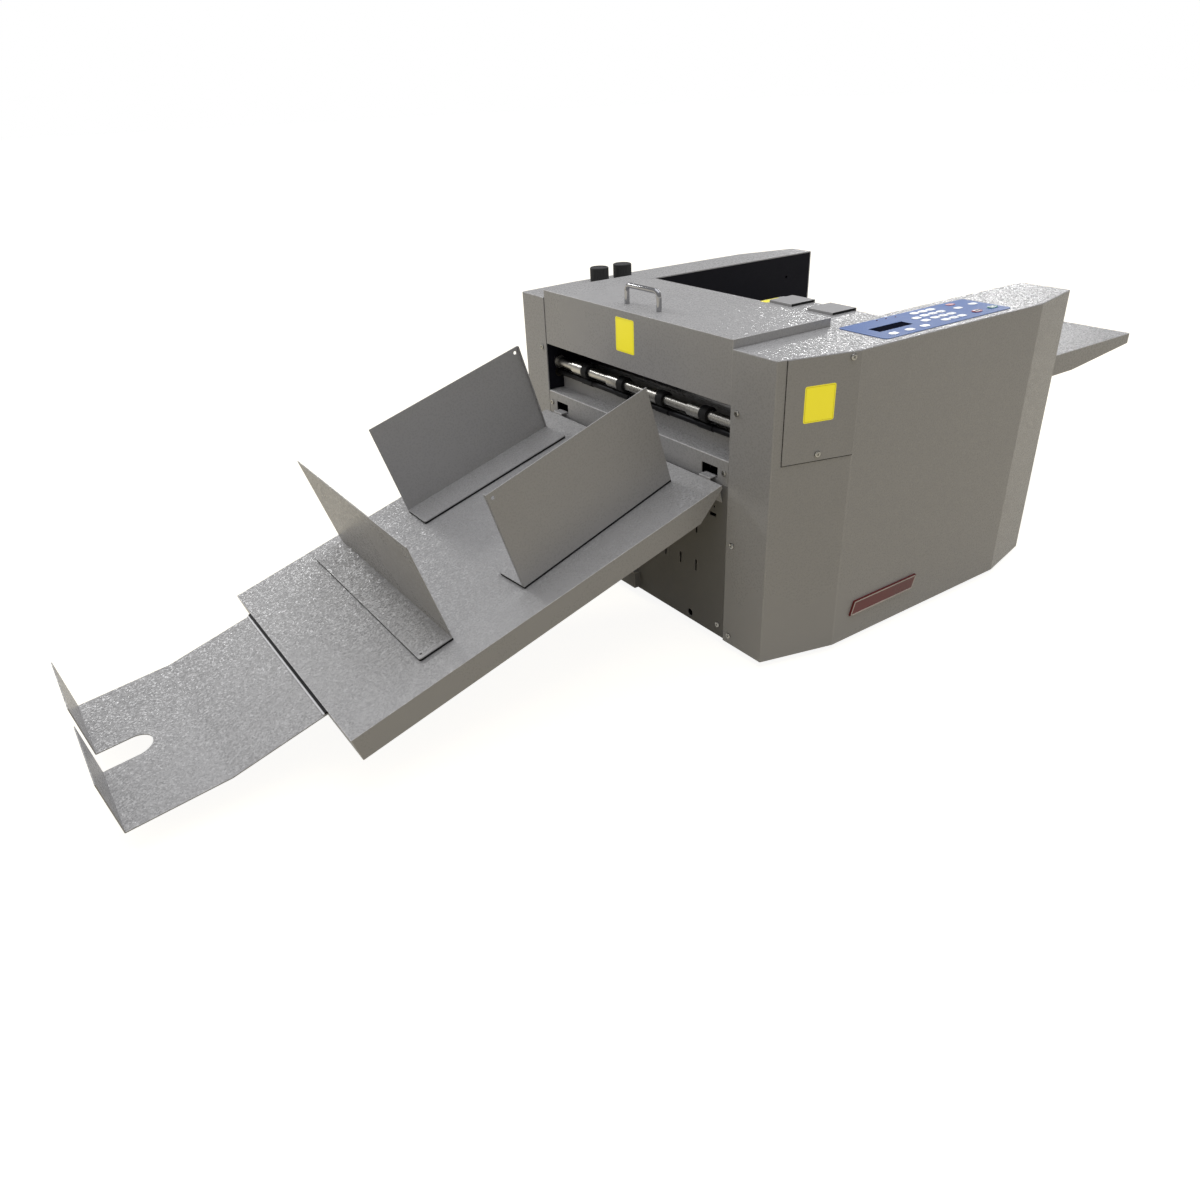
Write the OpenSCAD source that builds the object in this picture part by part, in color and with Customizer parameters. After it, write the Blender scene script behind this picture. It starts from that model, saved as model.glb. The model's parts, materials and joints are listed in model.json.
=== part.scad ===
// Desktop creasing machine for printed sheets.
// X runs across the paper, Y runs against the paper's way (the delivery side looks towards -Y), Z is up.
// All modules are drawn in machine places: X from the middle of the paper path, Y from the front face,
// Z from the lower edge of the covers. The last module moves them to the middle of the whole footprint.

/* [Body] */
// Clear width between the two side covers
gap_w = 510; // [480:1:560]
// Height of the side covers
body_h = 487; // [470:1:540]
// Depth of the side covers
body_d = 691; // [680:1:760]
// Depth of the left cover, out from the gap
left_w = 86; // [78:1:110]
// Depth of the right cover, out from the gap
right_w = 125; // [118:1:160]
// Inward slant of the left cover's front corner
left_slant = 12; // [4:1:20]
// Inward slant of the right cover's front corner
right_slant = 35; // [10:1:40]
// Inward slant of both covers' rear corners
rear_slant = 30; // [4:1:34]
// Length of the slanted front corner
slant_y = 131; // [100:1:160]
// Sheet thickness of the covers
cover_t = 2; // [1.5:0.1:2.4]
// Thickness of the side frames
frame_t = 6; // [4:0.5:8]
// Thickness of the base plate
base_t = 4; // [3:0.5:6]
// Thickness of bent sheet pieces
sheet_t = 1.5; // [1:0.1:1.8]
// Visible seam between covers
seam = 1; // [0.6:0.1:1.5]

/* [Feet] */
// Height of the rubber feet below the covers
foot_h = 12; // [8:1:25]
// Diameter of the rubber feet
foot_d = 38; // [25:1:45]
// Distance of the feet from the front and rear faces
foot_inset = 62; // [45:1:90]

/* [Hood] */
// Depth of the hood
hood_d = 200; // [190:1:202]
// Height of the hood above the covers
hood_rise = 13; // [11:1:20]
// Height of the hood's front face
hood_front_h = 96; // [80:1:105]
// Depth of the hood's side skirts
skirt_h = 55; // [30:1:58]
// Spacing of the handle's legs
handle_w = 86; // [60:1:120]
// Thickness of the handle bar
handle_d = 9; // [6:0.5:12]
// Height of the handle
handle_h = 35; // [28:1:45]
// Distance of the handle from the hood's front
handle_y = 38; // [20:1:80]
// Sideways place of the handle and of the label
handle_x = -7; // [-40:1:40]

/* [Delivery] */
// Height of the ledge under the paper outlet
ledge_z = 317; // [310:1:322]
// Depth of the ledge
ledge_d = 36; // [35:0.5:38]
// Height of the ledge's front face
ledge_h = 41; // [38:1:60]
// Height of the sheet's way between the rollers
nip_z = 355; // [350:1:360]
// Distance of the delivery shafts from the front face
delivery_y = 26; // [25:0.5:26]
// Diameter of the upper delivery shaft
shaft_d = 17; // [14:0.5:18]
// Diameter of the register rollers
ring_d = 24; // [24:1:24]
// Diameter of the delivery rings, a little larger so that the sheet is drawn tight
delivery_ring_d = 26; // [26:1:26]
// Diameter of the lower rollers
roller_d = 14; // [14:1:14]
// Spacing of the delivery rings
ring_pitch = 110; // [90:1:120]
// Width of a delivery ring
ring_w = 17; // [12:1:22]
// Sideways place of the rings from their even spacing about the middle
ring_shift = 8.5; // [0:0.5:10]
// Width of the steel sleeve beside a ring
sleeve_w = 31; // [20:1:40]
// Diameter of the steel sleeves
sleeve_d = 24; // [19:0.5:24]

/* [Creasing] */
// Distance of the creasing line from the front face
crease_y = 110; // [108:0.5:112]
// Stroke of the creasing beam
stroke = 5; // [3:0.5:6]
// Throw of the eccentrics
throw = 2.5; // [1.5:0.5:3]
// Thickness of the creasing blade
blade_t = 1.2; // [0.8:0.1:1.5]
// Distance of the register rollers from the front face
register_y = 180; // [178:1:184]
// Distance of the feed belts' front shaft from the front face
feed_y = 232; // [230:1:236]
// Distance between the feed belts' shafts
feed_span = 58; // [50:1:60]

/* [Tray] */
// Slope of the delivery tray in degrees
tray_slope = 16.65; // [12:0.05:20]
// Width of the delivery tray
tray_w = 505; // [480:1:505]
// Length of the delivery tray
tray_l = 663; // [660:1:760]
// Depth of the tray's side flanges
tray_flange = 38.8; // [25:0.1:50]
// Height of the tray's upper edge
tray_z = 281.6; // [280:0.1:284]
// Distance of the tray's upper edge before the front face
tray_gap = 10.3; // [8:0.1:12]
// Width of each tray hook
hook_w = 26; // [15:1:32]
// Sideways place of each tray hook
hook_x = 212; // [200:1:216]
// Depth of the tray extension below the tray top
ext_drop = 5; // [4.2:0.1:6]
// Width of the tray extension
ext_w = 347; // [300:1:380]
// Distance of the extension's bend from the tray's upper edge
ext_bend = 808.6; // [800:0.1:900]
// Distance of the extension's end from the tray's upper edge
ext_end = 949.2; // [930:0.1:1010]
// Slope of the extension's last part in degrees
ext_slope = 7.5; // [4:0.1:12]
// Height of the extension's end flanges
ext_flange = 84; // [40:1:100]
// Width of the slot in the extension's end
ext_slot = 50; // [30:1:70]
// Sideways place of the extension and the end stop
ext_x = -7; // [-10:1:10]

/* [Paper guides on the tray] */
// Length of each side guide
guide_l = 304; // [250:1:308]
// Height of the side guides and the end stop
guide_h = 167; // [100:1:190]
// Width of the side guides' feet
guide_foot = 67; // [40:1:70]
// Thickness of the magnet sheets under the feet
magnet_t = 3; // [1:0.1:3.4]
// Place of the left guide across the tray
left_guide_x = -188; // [-200:1:-170]
// Place of the right guide across the tray
right_guide_x = 171; // [165:1:180]
// Turn of the right guide as it stands, in degrees
right_guide_turn = 3.7; // [0:0.1:5]
// Distance of the side guides from the tray's upper edge
guide_s = 44; // [40:1:55]
// Place of the end stop along the tray
stop_s = 467.5; // [460:0.5:480]
// Width of the end stop
stop_w = 414; // [300:1:440]
// Width of the end stop's foot
stop_foot = 56.5; // [35:0.5:60]

/* [Feed table] */
// Height of the feed table when it is down
table_z = 314; // [310:1:316]
// Lift of the feed table
table_lift = 38; // [20:1:38]
// Width of the feed table
table_w = 458; // [440:1:458]
// Distance of the feed table's rear end from the front face
table_end = 1185; // [1100:1:1250]
// Depth of the feed table's side flanges
table_flange = 42; // [42:1:50]
// Depth of the flanges at the rear end
table_end_flange = 21; // [12:1:30]
// Place of the two sheet guides on the feed table
feed_guide_x = 188; // [150:1:195]
// Height of the sheet guides on the feed table
feed_guide_h = 55; // [30:1:58]

/* [Controls] */
// Width of the key film across the cover
film_w = 94; // [80:1:96]
// Length of the key film
film_l = 303; // [296:1:320]
// Distance of the key film from the front face
film_y = 197; // [176:1:240]
// Spacing of the number keys
key_pitch = 19.8; // [16:0.1:20]
// Travel of the start and stop keys
key_travel = 0.5; // [0.3:0.1:0.6]
// Diameter of the two adjusting knobs
knob_d = 36; // [25:1:40]
// Height of the two adjusting knobs
knob_h = 26; // [15:1:35]

/* [Hidden] */
$fn = 48;
// Gap that keeps neighbouring pieces apart
clear = 0.3;
// Radial play of a shaft in its bush
play = 0.05;
// Overlap that makes two shapes one solid or opens a cut
eps = 0.5;

// Body
gap_x = gap_w / 2;
frame_x = gap_x + seam;
frame_out = frame_x + frame_t;
left_x = gap_x + left_w;
right_x = gap_x + right_w;
rear_slant_y = slant_y - 5;
base_z = 2;
floor_z = base_z + base_t;
frame_top = body_h - cover_t - clear;
flange_w = 22;
flange_t = 3;
screw_d = 5;
screw_head_d = 10;
screw_head_h = 3;

// Hood
hood_y = seam;
hood_x = gap_x - seam;
hood_top = body_h + hood_rise;
hood_lip_z = hood_top - hood_front_h;
hinge_y = hood_y + hood_d + 5;
hinge_r = 4;
hinge_pin_r = 2;
hinge_z = body_h + clear + hinge_r;
hinge_x = 180;
hinge_w = 44;

// Rear deck
deck_y0 = hood_y + hood_d + 2;
deck_d = 108;
deck_y1 = deck_y0 + deck_d;
deck_step_y = deck_y0 + 54;
deck_step_x = 44;
deck_x = gap_x - seam;
deck_flange = 45;
deck_magnet_t = 2.7;

// Transport shafts
journal_r = 5;
bush_r = 8;
bush_flange_r = 9.2;
bush_flange_t = 1.4;
upper_z = nip_z + ring_d / 2;
lower_z = nip_z - roller_d / 2 - clear;
gear_m = 1;
upper_teeth = 24;
lower_teeth = 14;
delivery_roller_d = ring_d + roller_d - delivery_ring_d;
delivery_teeth = upper_teeth + (delivery_ring_d - ring_d) / gear_m;
delivery_lower_teeth = lower_teeth - (delivery_ring_d - ring_d) / gear_m;
gear_x = frame_out + 3;
gear_w = 8;
pulley_x = gear_x + gear_w + 2;
pulley_w = 8;
pulley_r = 14;
belt_t = 2;
motor_w = 57;
motor_l = 50;
motor_x = frame_out + 28;
motor_post_r = 4;
motor_post = motor_w / 2 - motor_post_r - 0.5;
left_motor_x = frame_out + 12;
ring_places = [-1.5, -0.5, 0.5, 1.5];
ring_middles = [for (i = ring_places) i * ring_pitch + ring_shift];

// Feed belts
drum_r = 12;
drum_z = upper_z + 4;
drum_places = [-60, 60];
drum_w = 40;
feed_back_y = feed_y + feed_span;

// Creasing unit
ecc_z = 425;
ecc_r = 15;
ecc_w = 14;
ecc_journal_r = 10;
ecc_bush_r = 13;
ecc_x = 150;
beam_w = 20;
beam_z = nip_z + 13;
beam_h = 30;
tongue_w = 12;
block_in = frame_x - 18;
window_h = 2 * (ecc_r + throw + 0.5) + stroke;
window_w = 2 * (ecc_r + throw + 0.5);
anvil_top = nip_z - 1;
anvil_w = 24;
anvil_h = 36;
blade_low = nip_z + 3.5;

// Tray
hook_t = sheet_t;
hook_lip = 6;
hook_lip_y = cover_t + 2.2;
slot_x = 7;
slot_z = 283;
hook_bead = 0.4;
hook_z = slot_z + clear + hook_bead;
slot_h = 18;
rail_s0 = 350;
rail_s1 = 655;
ext_in = 400;
tray_lean = 35;
right_guide_ahead = 9;
guide_return = 6;
foot_r = 4;

// Feed table
table_y = 262;
rod_x = frame_x - 13;
rod_r = 6;
rod_y = [400, 600];
rod_top = 372;
block_h = 38;
lift_y = 432;
lift_z = 220;
pinion_m = 1.5;
pinion_teeth = 16;
pinion_r = pinion_m * pinion_teeth / 2;

// Rear panel with the socket and the rocker switch
rear_panel_y = body_d - 34;
unit_x = [-200, -124];
unit_z = [50, 78];
rocker_w = 18;
rocker_h = 20;
rocker_tilt = 8;
rocker_x = unit_x[1] - 15;
rocker_y = rear_panel_y + sheet_t - 1;
rocker_z = (unit_z[0] + unit_z[1]) / 2;

// Power supply in the left housing
supply = [43, 210, 98];
supply_y = 400;

// Tie rods between the side frames, by Y and Z
tie_rod_r = 8;
tie_rod_places = [[60, 60], [330, 60], [rear_panel_y - 97, 60], [60, 230], [300, 230]];

// Adjusting knobs on the left cover
knob_x = -306;
knob_y = [162, 217];
spindle_r = 4;

// Key film, right cover top
film_x = right_x - 14 - film_w;
film_t = 0.8;
film_z = body_h + play;
keys_y = film_y + 6;
lcd = [23, 76];
lcd_at = [36, 21];
start_at = [71, 277];
stop_at = [72, 236];
cap = [11, 20];
cap_h = 1.6;
// Round pads of the film: place across and along the film, in keys of key_pitch where they form the block
pad_block = [15.5, 154];
pads = [[79, 28], [79, 64], [79, 99], [38.5, 130], [57.5, 128], [14, 246], [38, 234], [35, 276]];
pad = [11, 16.4];
marks = [[7, 75], [8, 95], [11, 114]];

// Whole footprint
slope = tray_slope;
bend_y = tray_gap + ext_bend * cos(slope) - ext_drop * sin(slope);
tip_y = bend_y + (ext_end - ext_bend) * cos(ext_slope) + ext_flange * sin(ext_slope);
mid_x = (right_x - left_x) / 2;
mid_y = (table_end - tip_y) / 2;

// Helpers

// A box given by its two ends on each axis
module span(x, y, z) {
    translate([x[0], y[0], z[0]])
        cube([x[1] - x[0], y[1] - y[0], z[1] - z[0]]);
}

// A round bar along X
module bar_x(x, r, y, z) {
    translate([x[0], y, z])
        rotate([0, 90, 0])
            cylinder(h = x[1] - x[0], r = r);
}

// A pattern on both sides of the paper's middle
module both_sides() {
    for (side = [-1, 1])
        scale_x(side)
            children();
}

module scale_x(side) {
    if (side < 0)
        mirror([1, 0, 0])
            children();
    else
        children();
}

// A flat rectangle with round corners, lying at the origin's corner
module round_rect(size, r, h) {
    translate([r, 0, 0])
        cube([size[0] - 2 * r, size[1], h]);
    translate([0, r, 0])
        cube([size[0], size[1] - 2 * r, h]);
    for (x = [r, size[0] - r], y = [r, size[1] - r])
        translate([x, y, 0])
            cylinder(h = h, r = r);
}

// Outline moved inwards by d, corner by corner
function unit(v) = v / norm(v);
function left_of(v) = [-v[1], v[0]];
function inset(p, d) = [
    for (i = [0 : len(p) - 1])
        let (
            n1 = left_of(unit(p[i] - p[(i + len(p) - 1) % len(p)])),
            n2 = left_of(unit(p[(i + 1) % len(p)] - p[i]))
        )
        p[i] + d * (n1 + n2) / (1 + n1 * n2)
];

// Plan outlines run anticlockwise, so that their inside is on the left
function right_plan(inner) = [
    [inner, 0],
    [right_x - right_slant, 0],
    [right_x, slant_y],
    [right_x, body_d - rear_slant_y],
    [right_x - rear_slant, body_d],
    [inner, body_d]
];
function left_plan(inner) = [
    [-inner, body_d],
    [-(left_x - rear_slant), body_d],
    [-left_x, body_d - rear_slant_y],
    [-left_x, slant_y],
    [-(left_x - left_slant), 0],
    [-inner, 0]
];

// A bent cover: walls and top, open below and towards the frame
module cover_shell(outer, cavity) {
    difference() {
        linear_extrude(height = body_h)
            polygon(outer);
        translate([0, 0, -eps])
            linear_extrude(height = body_h - cover_t + eps)
                polygon(inset(cavity, cover_t));
    }
}

// Straight-sided gear along X, with its teeth a little thin for running play
module gear_x_axis(teeth, m, w, turn) {
    pitch_r = m * teeth / 2;
    root_r = pitch_r - 1.2 * m;
    tip_r = pitch_r + 0.85 * m;
    step = 360 / teeth;
    rotate([0, 90, 0])
        linear_extrude(height = w)
            polygon([
                for (i = [0 : teeth - 1])
                    for (c = [[root_r, -0.33], [pitch_r, -0.22], [tip_r, -0.10],
                              [tip_r, 0.10], [pitch_r, 0.22], [root_r, 0.33]])
                        let (a = (i + c[1]) * step + turn)
                        c[0] * [cos(a), sin(a)]
            ]);
}

// Places of the pan head screws on the front, by X and Z
function front_screws() = [
    [frame_x + 13, 396], [frame_x + 13, 181], [frame_x + 13, 15],
    [-frame_x - 13, 396], [-frame_x - 13, 181], [-frame_x - 13, 15]
];
function panel_screws() = [for (s = [-1, 1]) [s * (gap_x - 14), 24]];
function ledge_screws() = [for (s = [-1, 1]) [s * (gap_x - 10), ledge_z - 21]];

// Frame and base

module base_plate() {
    outline = [for (p = concat(left_plan(0), right_plan(0))) if (abs(p[0]) > 1) p];
    color("dimgray")
        translate([0, 0, base_z])
            linear_extrude(height = base_t)
                polygon(inset(outline, cover_t + 2));
}

function foot_places() = [
    for (x = [-gap_x - 20, gap_x + 40], y = [foot_inset, body_d - foot_inset]) [x, y]
];

module rubber_feet() {
    color([0.07, 0.07, 0.08])
        for (p = foot_places())
            translate([p[0], p[1], -foot_h])
                cylinder(h = foot_h + base_z, d = foot_d);
}

// One side frame, drawn for the right side
module side_frame() {
    difference() {
        union() {
            span([frame_x, frame_out], [cover_t + clear, body_d - cover_t - clear], [floor_z, frame_top]);
            // Bent flange behind the cover's front face
            span([frame_x, frame_x + flange_w], [cover_t + clear, cover_t + clear + flange_t],
                 [floor_z, frame_top]);
            // Bent flange behind the front panel and the ledge
            span([frame_x - flange_w, frame_out], [cover_t + clear, cover_t + clear + flange_t],
                 [floor_z, ledge_z - 5]);
            // Block that guides the creasing beam
            span([block_in, frame_x + eps], [crease_y - 14, crease_y + 14], [beam_z - stroke - 5, beam_z + beam_h + 5]);
        }
        span([block_in - eps, frame_x], [crease_y - tongue_w / 2 - clear, crease_y + tongue_w / 2 + clear],
             [beam_z - stroke - 6, beam_z + beam_h + 6]);
        for (y = [delivery_y, register_y]) {
            bar_x([frame_x - eps, frame_out + eps], bush_r, y, upper_z);
            bar_x([frame_x - eps, frame_out + eps], bush_r, y, lower_z);
        }
        for (y = [feed_y, feed_back_y])
            bar_x([frame_x - eps, frame_out + eps], bush_r, y, drum_z);
        bar_x([frame_x - eps, frame_out + eps], bush_r, lift_y, lift_z);
        bar_x([frame_x - eps, frame_out + eps], ecc_bush_r, crease_y, ecc_z);
        bar_x([frame_x - eps, frame_out + eps], 3, body_d - 70, body_h - 45);
        for (s = concat(front_screws(), panel_screws(), ledge_screws()))
            if (s[0] > 0)
                translate([s[0], 0, s[1]])
                    rotate([-90, 0, 0])
                        cylinder(h = 8, d = screw_d);
    }
}

module right_frame() {
    color([0.12, 0.12, 0.13])
        side_frame();
}

module left_frame() {
    color([0.12, 0.12, 0.13])
        mirror([1, 0, 0])
            side_frame();
}

module tie_rods() {
    color("silver")
        for (p = tie_rod_places)
            bar_x([-frame_x, frame_x], tie_rod_r, p[0], p[1]);
}

module front_panel() {
    color([0.47, 0.46, 0.43])
        difference() {
            union() {
                span([-gap_x + seam, gap_x - seam], [clear, cover_t], [3, ledge_z - ledge_h - seam]);
                // Low box at the panel's foot
                span([-100, 24], [-12, cover_t], [6, 38]);
            }
            for (i = [0 : 9], z = [103, 173])
                translate([-182 + i * 364 / 9, 0, z]) {
                    span([-2.5, 2.5], [-1, 3], [2.5, 18.5]);
                    for (e = [2.5, 18.5])
                        translate([0, -1, e])
                            rotate([-90, 0, 0])
                                cylinder(h = 4, r = 2.5);
                }
            for (x = [-221, 221])
                span([x - 8, x + 8], [-1, 3], [217, 223]);
            for (p = [[-224, 234, 2], [224, 234, 2], [-169, 16, 6.5], [169, 16, 6.5]])
                translate([p[0], -1, p[1]])
                    rotate([-90, 0, 0])
                        cylinder(h = 4, r = p[2]);
            for (s = panel_screws())
                translate([s[0], -1, s[1]])
                    rotate([-90, 0, 0])
                        cylinder(h = 4, d = screw_d + 0.6);
        }
}

module delivery_ledge() {
    x = gap_x - seam;
    color([0.6, 0.6, 0.6])
        difference() {
            union() {
                span([-x, x], [clear, cover_t], [ledge_z - ledge_h, ledge_z]);
                span([-x, x], [clear, ledge_d], [ledge_z - sheet_t, ledge_z]);
                span([-x, x], [ledge_d - sheet_t, ledge_d], [ledge_z - sheet_t, nip_z - 7]);
            }
            both_sides()
                span([hook_x - hook_w / 2 - slot_x, hook_x + hook_w / 2 + slot_x - 2], [-1, 3],
                     [slot_z, slot_z + slot_h]);
            for (s = ledge_screws())
                translate([s[0], -1, s[1]])
                    rotate([-90, 0, 0])
                        cylinder(h = 4, d = screw_d + 0.6);
        }
}

// Place on the slanted front corner of the right cover: along it, out of it and up
module on_slant() {
    translate([right_x - right_slant, 0, 0])
        rotate([0, 0, atan2(slant_y, right_slant)])
            children();
}
slant_l = norm([right_slant, slant_y]);
access_x = [16, slant_l - 1.5];
access_z = [334, body_h - 1];
access_screws = [[120, access_z[1] - 7], [74, access_z[0] + 10]];

module left_cover() {
    color([0.6, 0.6, 0.6])
        difference() {
            cover_shell(left_plan(gap_x), left_plan(gap_x - 20));
            for (y = knob_y)
                translate([knob_x, y, body_h - 4])
                    cylinder(h = 6, r = spindle_r + clear);
            front_screw_holes(-1);
        }
}

module front_screw_holes(side) {
    for (s = front_screws())
        if (s[0] * side > 0)
            translate([s[0], -1, s[1]])
                rotate([-90, 0, 0])
                    cylinder(h = cover_t + 2, d = screw_d + 0.6);
}

module right_cover() {
    color([0.6, 0.6, 0.6])
        difference() {
            cover_shell(right_plan(gap_x), right_plan(gap_x - 20));
            front_screw_holes(1);
            // Access hole behind its cover
            on_slant()
                span([access_x[0] + 14, access_x[1] - 12], [-1, 5], [access_z[0] + 20, access_z[1] - 16]);
            on_slant()
                for (s = access_screws)
                    translate([s[0], -1, s[1]])
                        rotate([-90, 0, 0])
                            cylinder(h = 6, d = screw_d);
        }
}

module access_cover() {
    color([0.58, 0.58, 0.57])
        on_slant()
            difference() {
                span(access_x, [-sheet_t - play, -play], access_z);
                for (s = access_screws)
                    translate([s[0], -4, s[1]])
                        rotate([-90, 0, 0])
                            cylinder(h = 6, d = screw_d + 0.4);
            }
}

// A pan head screw that points along +Y, with its head's underside at the origin
module screw(shank) {
    rotate([90, 0, 0])
        cylinder(h = screw_head_h - 1, d = screw_head_d);
    translate([0, -screw_head_h + 1 + play, 0])
        rotate([90, 0, 0])
            cylinder(h = 1, d1 = screw_head_d, d2 = screw_head_d - 4);
    rotate([-90, 0, 0])
        cylinder(h = shank, d = screw_d - 2 * play);
}

module cover_screws() {
    color("silver") {
        for (s = front_screws())
            translate([s[0], -play, s[1]])
                screw(5);
        for (s = concat(panel_screws(), ledge_screws()))
            translate([s[0], clear - play, s[1]])
                screw(5);
        on_slant()
            for (s = access_screws)
                translate([s[0], -sheet_t - 2 * play, s[1]])
                    screw(3.5);
    }
}

module rear_panel() {
    y = rear_panel_y;
    color([0.5, 0.5, 0.48])
        difference() {
            span([-frame_x + clear, frame_x - clear], [y, y + sheet_t], [floor_z, 250]);
            // Hole of the socket and the switch
            span(unit_x, [y - 1, y + sheet_t + 1], unit_z);
        }
}

// Deck behind the hood, deeper on its right part
module rear_deck() {
    t = sheet_t;
    z = [body_h - deck_flange, body_h];
    color([0.66, 0.66, 0.66]) {
        span([-deck_x, deck_x], [deck_y0, deck_step_y], [body_h - t, body_h]);
        span([deck_step_x, deck_x], [deck_step_y - eps, deck_y1], [body_h - t, body_h]);
        span([-deck_x, deck_x], [deck_y0, deck_y0 + t], [body_h - 16, body_h]);
        span([-deck_x, deck_step_x + t], [deck_step_y - t, deck_step_y], z);
        span([deck_step_x, deck_step_x + t], [deck_step_y - t, deck_y1], z);
        span([deck_step_x, deck_x], [deck_y1 - t, deck_y1], z);
        span([-deck_x, -deck_x + t], [deck_y0, deck_step_y], z);
        span([deck_x - t, deck_x], [deck_y0, deck_y1], z);
        // Spacers between the flanges and the side frames
        for (y = [deck_y0 + 15, deck_step_y - 12])
            both_sides()
                bar_x([deck_x - t / 2, frame_x], 7, y, body_h - deck_flange + 12);
    }
}

// Hood

module hood() {
    t = sheet_t;
    z1 = hood_top;
    y1 = hood_y + hood_d;
    color([0.66, 0.66, 0.66]) {
        span([-hood_x, hood_x], [hood_y, y1], [z1 - t, z1]);
        span([-hood_x, hood_x], [hood_y, hood_y + t], [hood_lip_z, z1]);
        span([-hood_x, hood_x], [hood_y, hood_y + 12], [hood_lip_z, hood_lip_z + t]);
        span([-hood_x, hood_x], [y1 - t, y1], [body_h + 2, z1]);
        both_sides()
            span([hood_x - t, hood_x], [hood_y, y1], [z1 - skirt_h, z1]);
        // Hinge leaves with their knuckles
        both_sides()
            difference() {
                union() {
                    span([hinge_x - hinge_w / 2, hinge_x - hinge_w / 2 + 20], [y1 - eps, hinge_y],
                         [hinge_z + hinge_r - t, hinge_z + hinge_r]);
                    bar_x([hinge_x - hinge_w / 2, hinge_x - hinge_w / 2 + 20], hinge_r, hinge_y, hinge_z);
                }
                bar_x([hinge_x - hinge_w, hinge_x + hinge_w], hinge_pin_r + play, hinge_y, hinge_z);
            }
    }
}

module hood_hinges() {
    x0 = hinge_x - hinge_w / 2;
    color("dimgray")
        both_sides() {
            // Pin
            bar_x([x0, x0 + hinge_w], hinge_pin_r, hinge_y, hinge_z);
            // Knuckle on the deck
            bar_x([x0 + 20 + clear, x0 + hinge_w], hinge_r, hinge_y, hinge_z);
            span([x0 + 20 + clear, x0 + hinge_w], [hinge_y, hinge_y + 16], [body_h, body_h + sheet_t]);
        }
}

module hood_handle() {
    r = handle_d / 2;
    bend = 10;
    top = hood_top + handle_h - r;
    color([0.8, 0.8, 0.82])
        translate([handle_x, hood_y + handle_y, 0])
            both_sides() {
                translate([handle_w / 2, 0, hood_top])
                    cylinder(h = top - bend - hood_top, r = r);
                translate([handle_w / 2 - bend, 0, top - bend])
                    rotate([90, 0, 0])
                        rotate_extrude(angle = 90)
                            translate([bend, 0])
                                circle(r = r);
                bar_x([-eps, handle_w / 2 - bend], r, 0, top);
            }
}

// Transport

module shaft_bushes() {
    color([0.72, 0.6, 0.35])
        both_sides() {
            for (y = [delivery_y, register_y], z = [upper_z, lower_z])
                bush(y, z, bush_r, bush_flange_r, journal_r);
            for (y = [feed_y, feed_back_y])
                bush(y, drum_z, bush_r, bush_flange_r, journal_r);
            bush(lift_y, lift_z, bush_r, bush_flange_r, journal_r);
            bush(crease_y, ecc_z, ecc_bush_r, ecc_bush_r + 2, ecc_journal_r);
        }
}

module bush(y, z, r, flange_r, bore_r) {
    difference() {
        union() {
            bar_x([frame_x - bush_flange_t, frame_out + 1], r - play, y, z);
            bar_x([frame_x - bush_flange_t, frame_x - play], flange_r, y, z);
        }
        bar_x([frame_x - 5, frame_out + 5], bore_r + play, y, z);
    }
}

// Steel shaft with thinner ends in the bushes
module shaft(r, y, z, right_end) {
    inner = frame_x - bush_flange_t - clear;
    bar_x([-inner, inner], r, y, z);
    bar_x([-frame_out - 4, right_end], journal_r, y, z);
}

module drive_pulley(y, z) {
    bar_x([pulley_x, pulley_x + pulley_w], pulley_r, y, z);
}

module delivery_shaft() {
    color([0.78, 0.78, 0.78]) {
        shaft(shaft_d / 2, delivery_y, upper_z, motor_x - 8);
        for (x = ring_middles)
            bar_x([x - ring_w / 2 - sleeve_w, x - ring_w / 2], sleeve_d / 2, delivery_y, upper_z);
        // Collar at the left bush
        bar_x([-frame_x + bush_flange_t + clear, -frame_x + bush_flange_t + 5], sleeve_d / 2,
              delivery_y, upper_z);
        translate([gear_x, delivery_y, upper_z])
            gear_x_axis(delivery_teeth, gear_m, gear_w, 0);
        drive_pulley(delivery_y, upper_z);
    }
}

module delivery_rings() {
    color([0.06, 0.06, 0.06])
        for (x = ring_middles)
            difference() {
                bar_x([x - ring_w / 2 + play, x + ring_w / 2], delivery_ring_d / 2, delivery_y, upper_z);
                bar_x([x - ring_w, x + ring_w], shaft_d / 2, delivery_y, upper_z);
            }
}

module lower_shaft(y, d, middles, teeth) {
    shaft(d / 2 - 2, y, lower_z, gear_x + gear_w);
    for (x = middles)
        bar_x([x - ring_w, x + ring_w], d / 2, y, lower_z);
    translate([gear_x, y, lower_z])
        gear_x_axis(teeth, gear_m, gear_w, 180 / teeth);
}

module lower_delivery_shaft() {
    color([0.15, 0.15, 0.16])
        lower_shaft(delivery_y, delivery_roller_d, ring_middles, delivery_lower_teeth);
}

module register_shaft() {
    color([0.3, 0.3, 0.3]) {
        shaft(shaft_d / 2 - 2, register_y, upper_z, motor_x);
        for (i = ring_places)
            bar_x([i * ring_pitch - ring_w, i * ring_pitch + ring_w], ring_d / 2, register_y, upper_z);
        translate([gear_x, register_y, upper_z])
            gear_x_axis(upper_teeth, gear_m, gear_w, 0);
        drive_pulley(register_y, upper_z);
    }
}

module lower_register_shaft() {
    color([0.15, 0.15, 0.16])
        lower_shaft(register_y, roller_d, ring_pitch * ring_places, lower_teeth);
}

module drive_belt() {
    w = pulley_w - 2;
    x0 = pulley_x + 1;
    color([0.1, 0.1, 0.1])
        difference() {
            belt_loop(x0, w, pulley_r + clear + belt_t, delivery_y, register_y, upper_z);
            belt_loop(x0 - eps, w + 2 * eps, pulley_r + clear, delivery_y, register_y, upper_z);
        }
}

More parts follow.
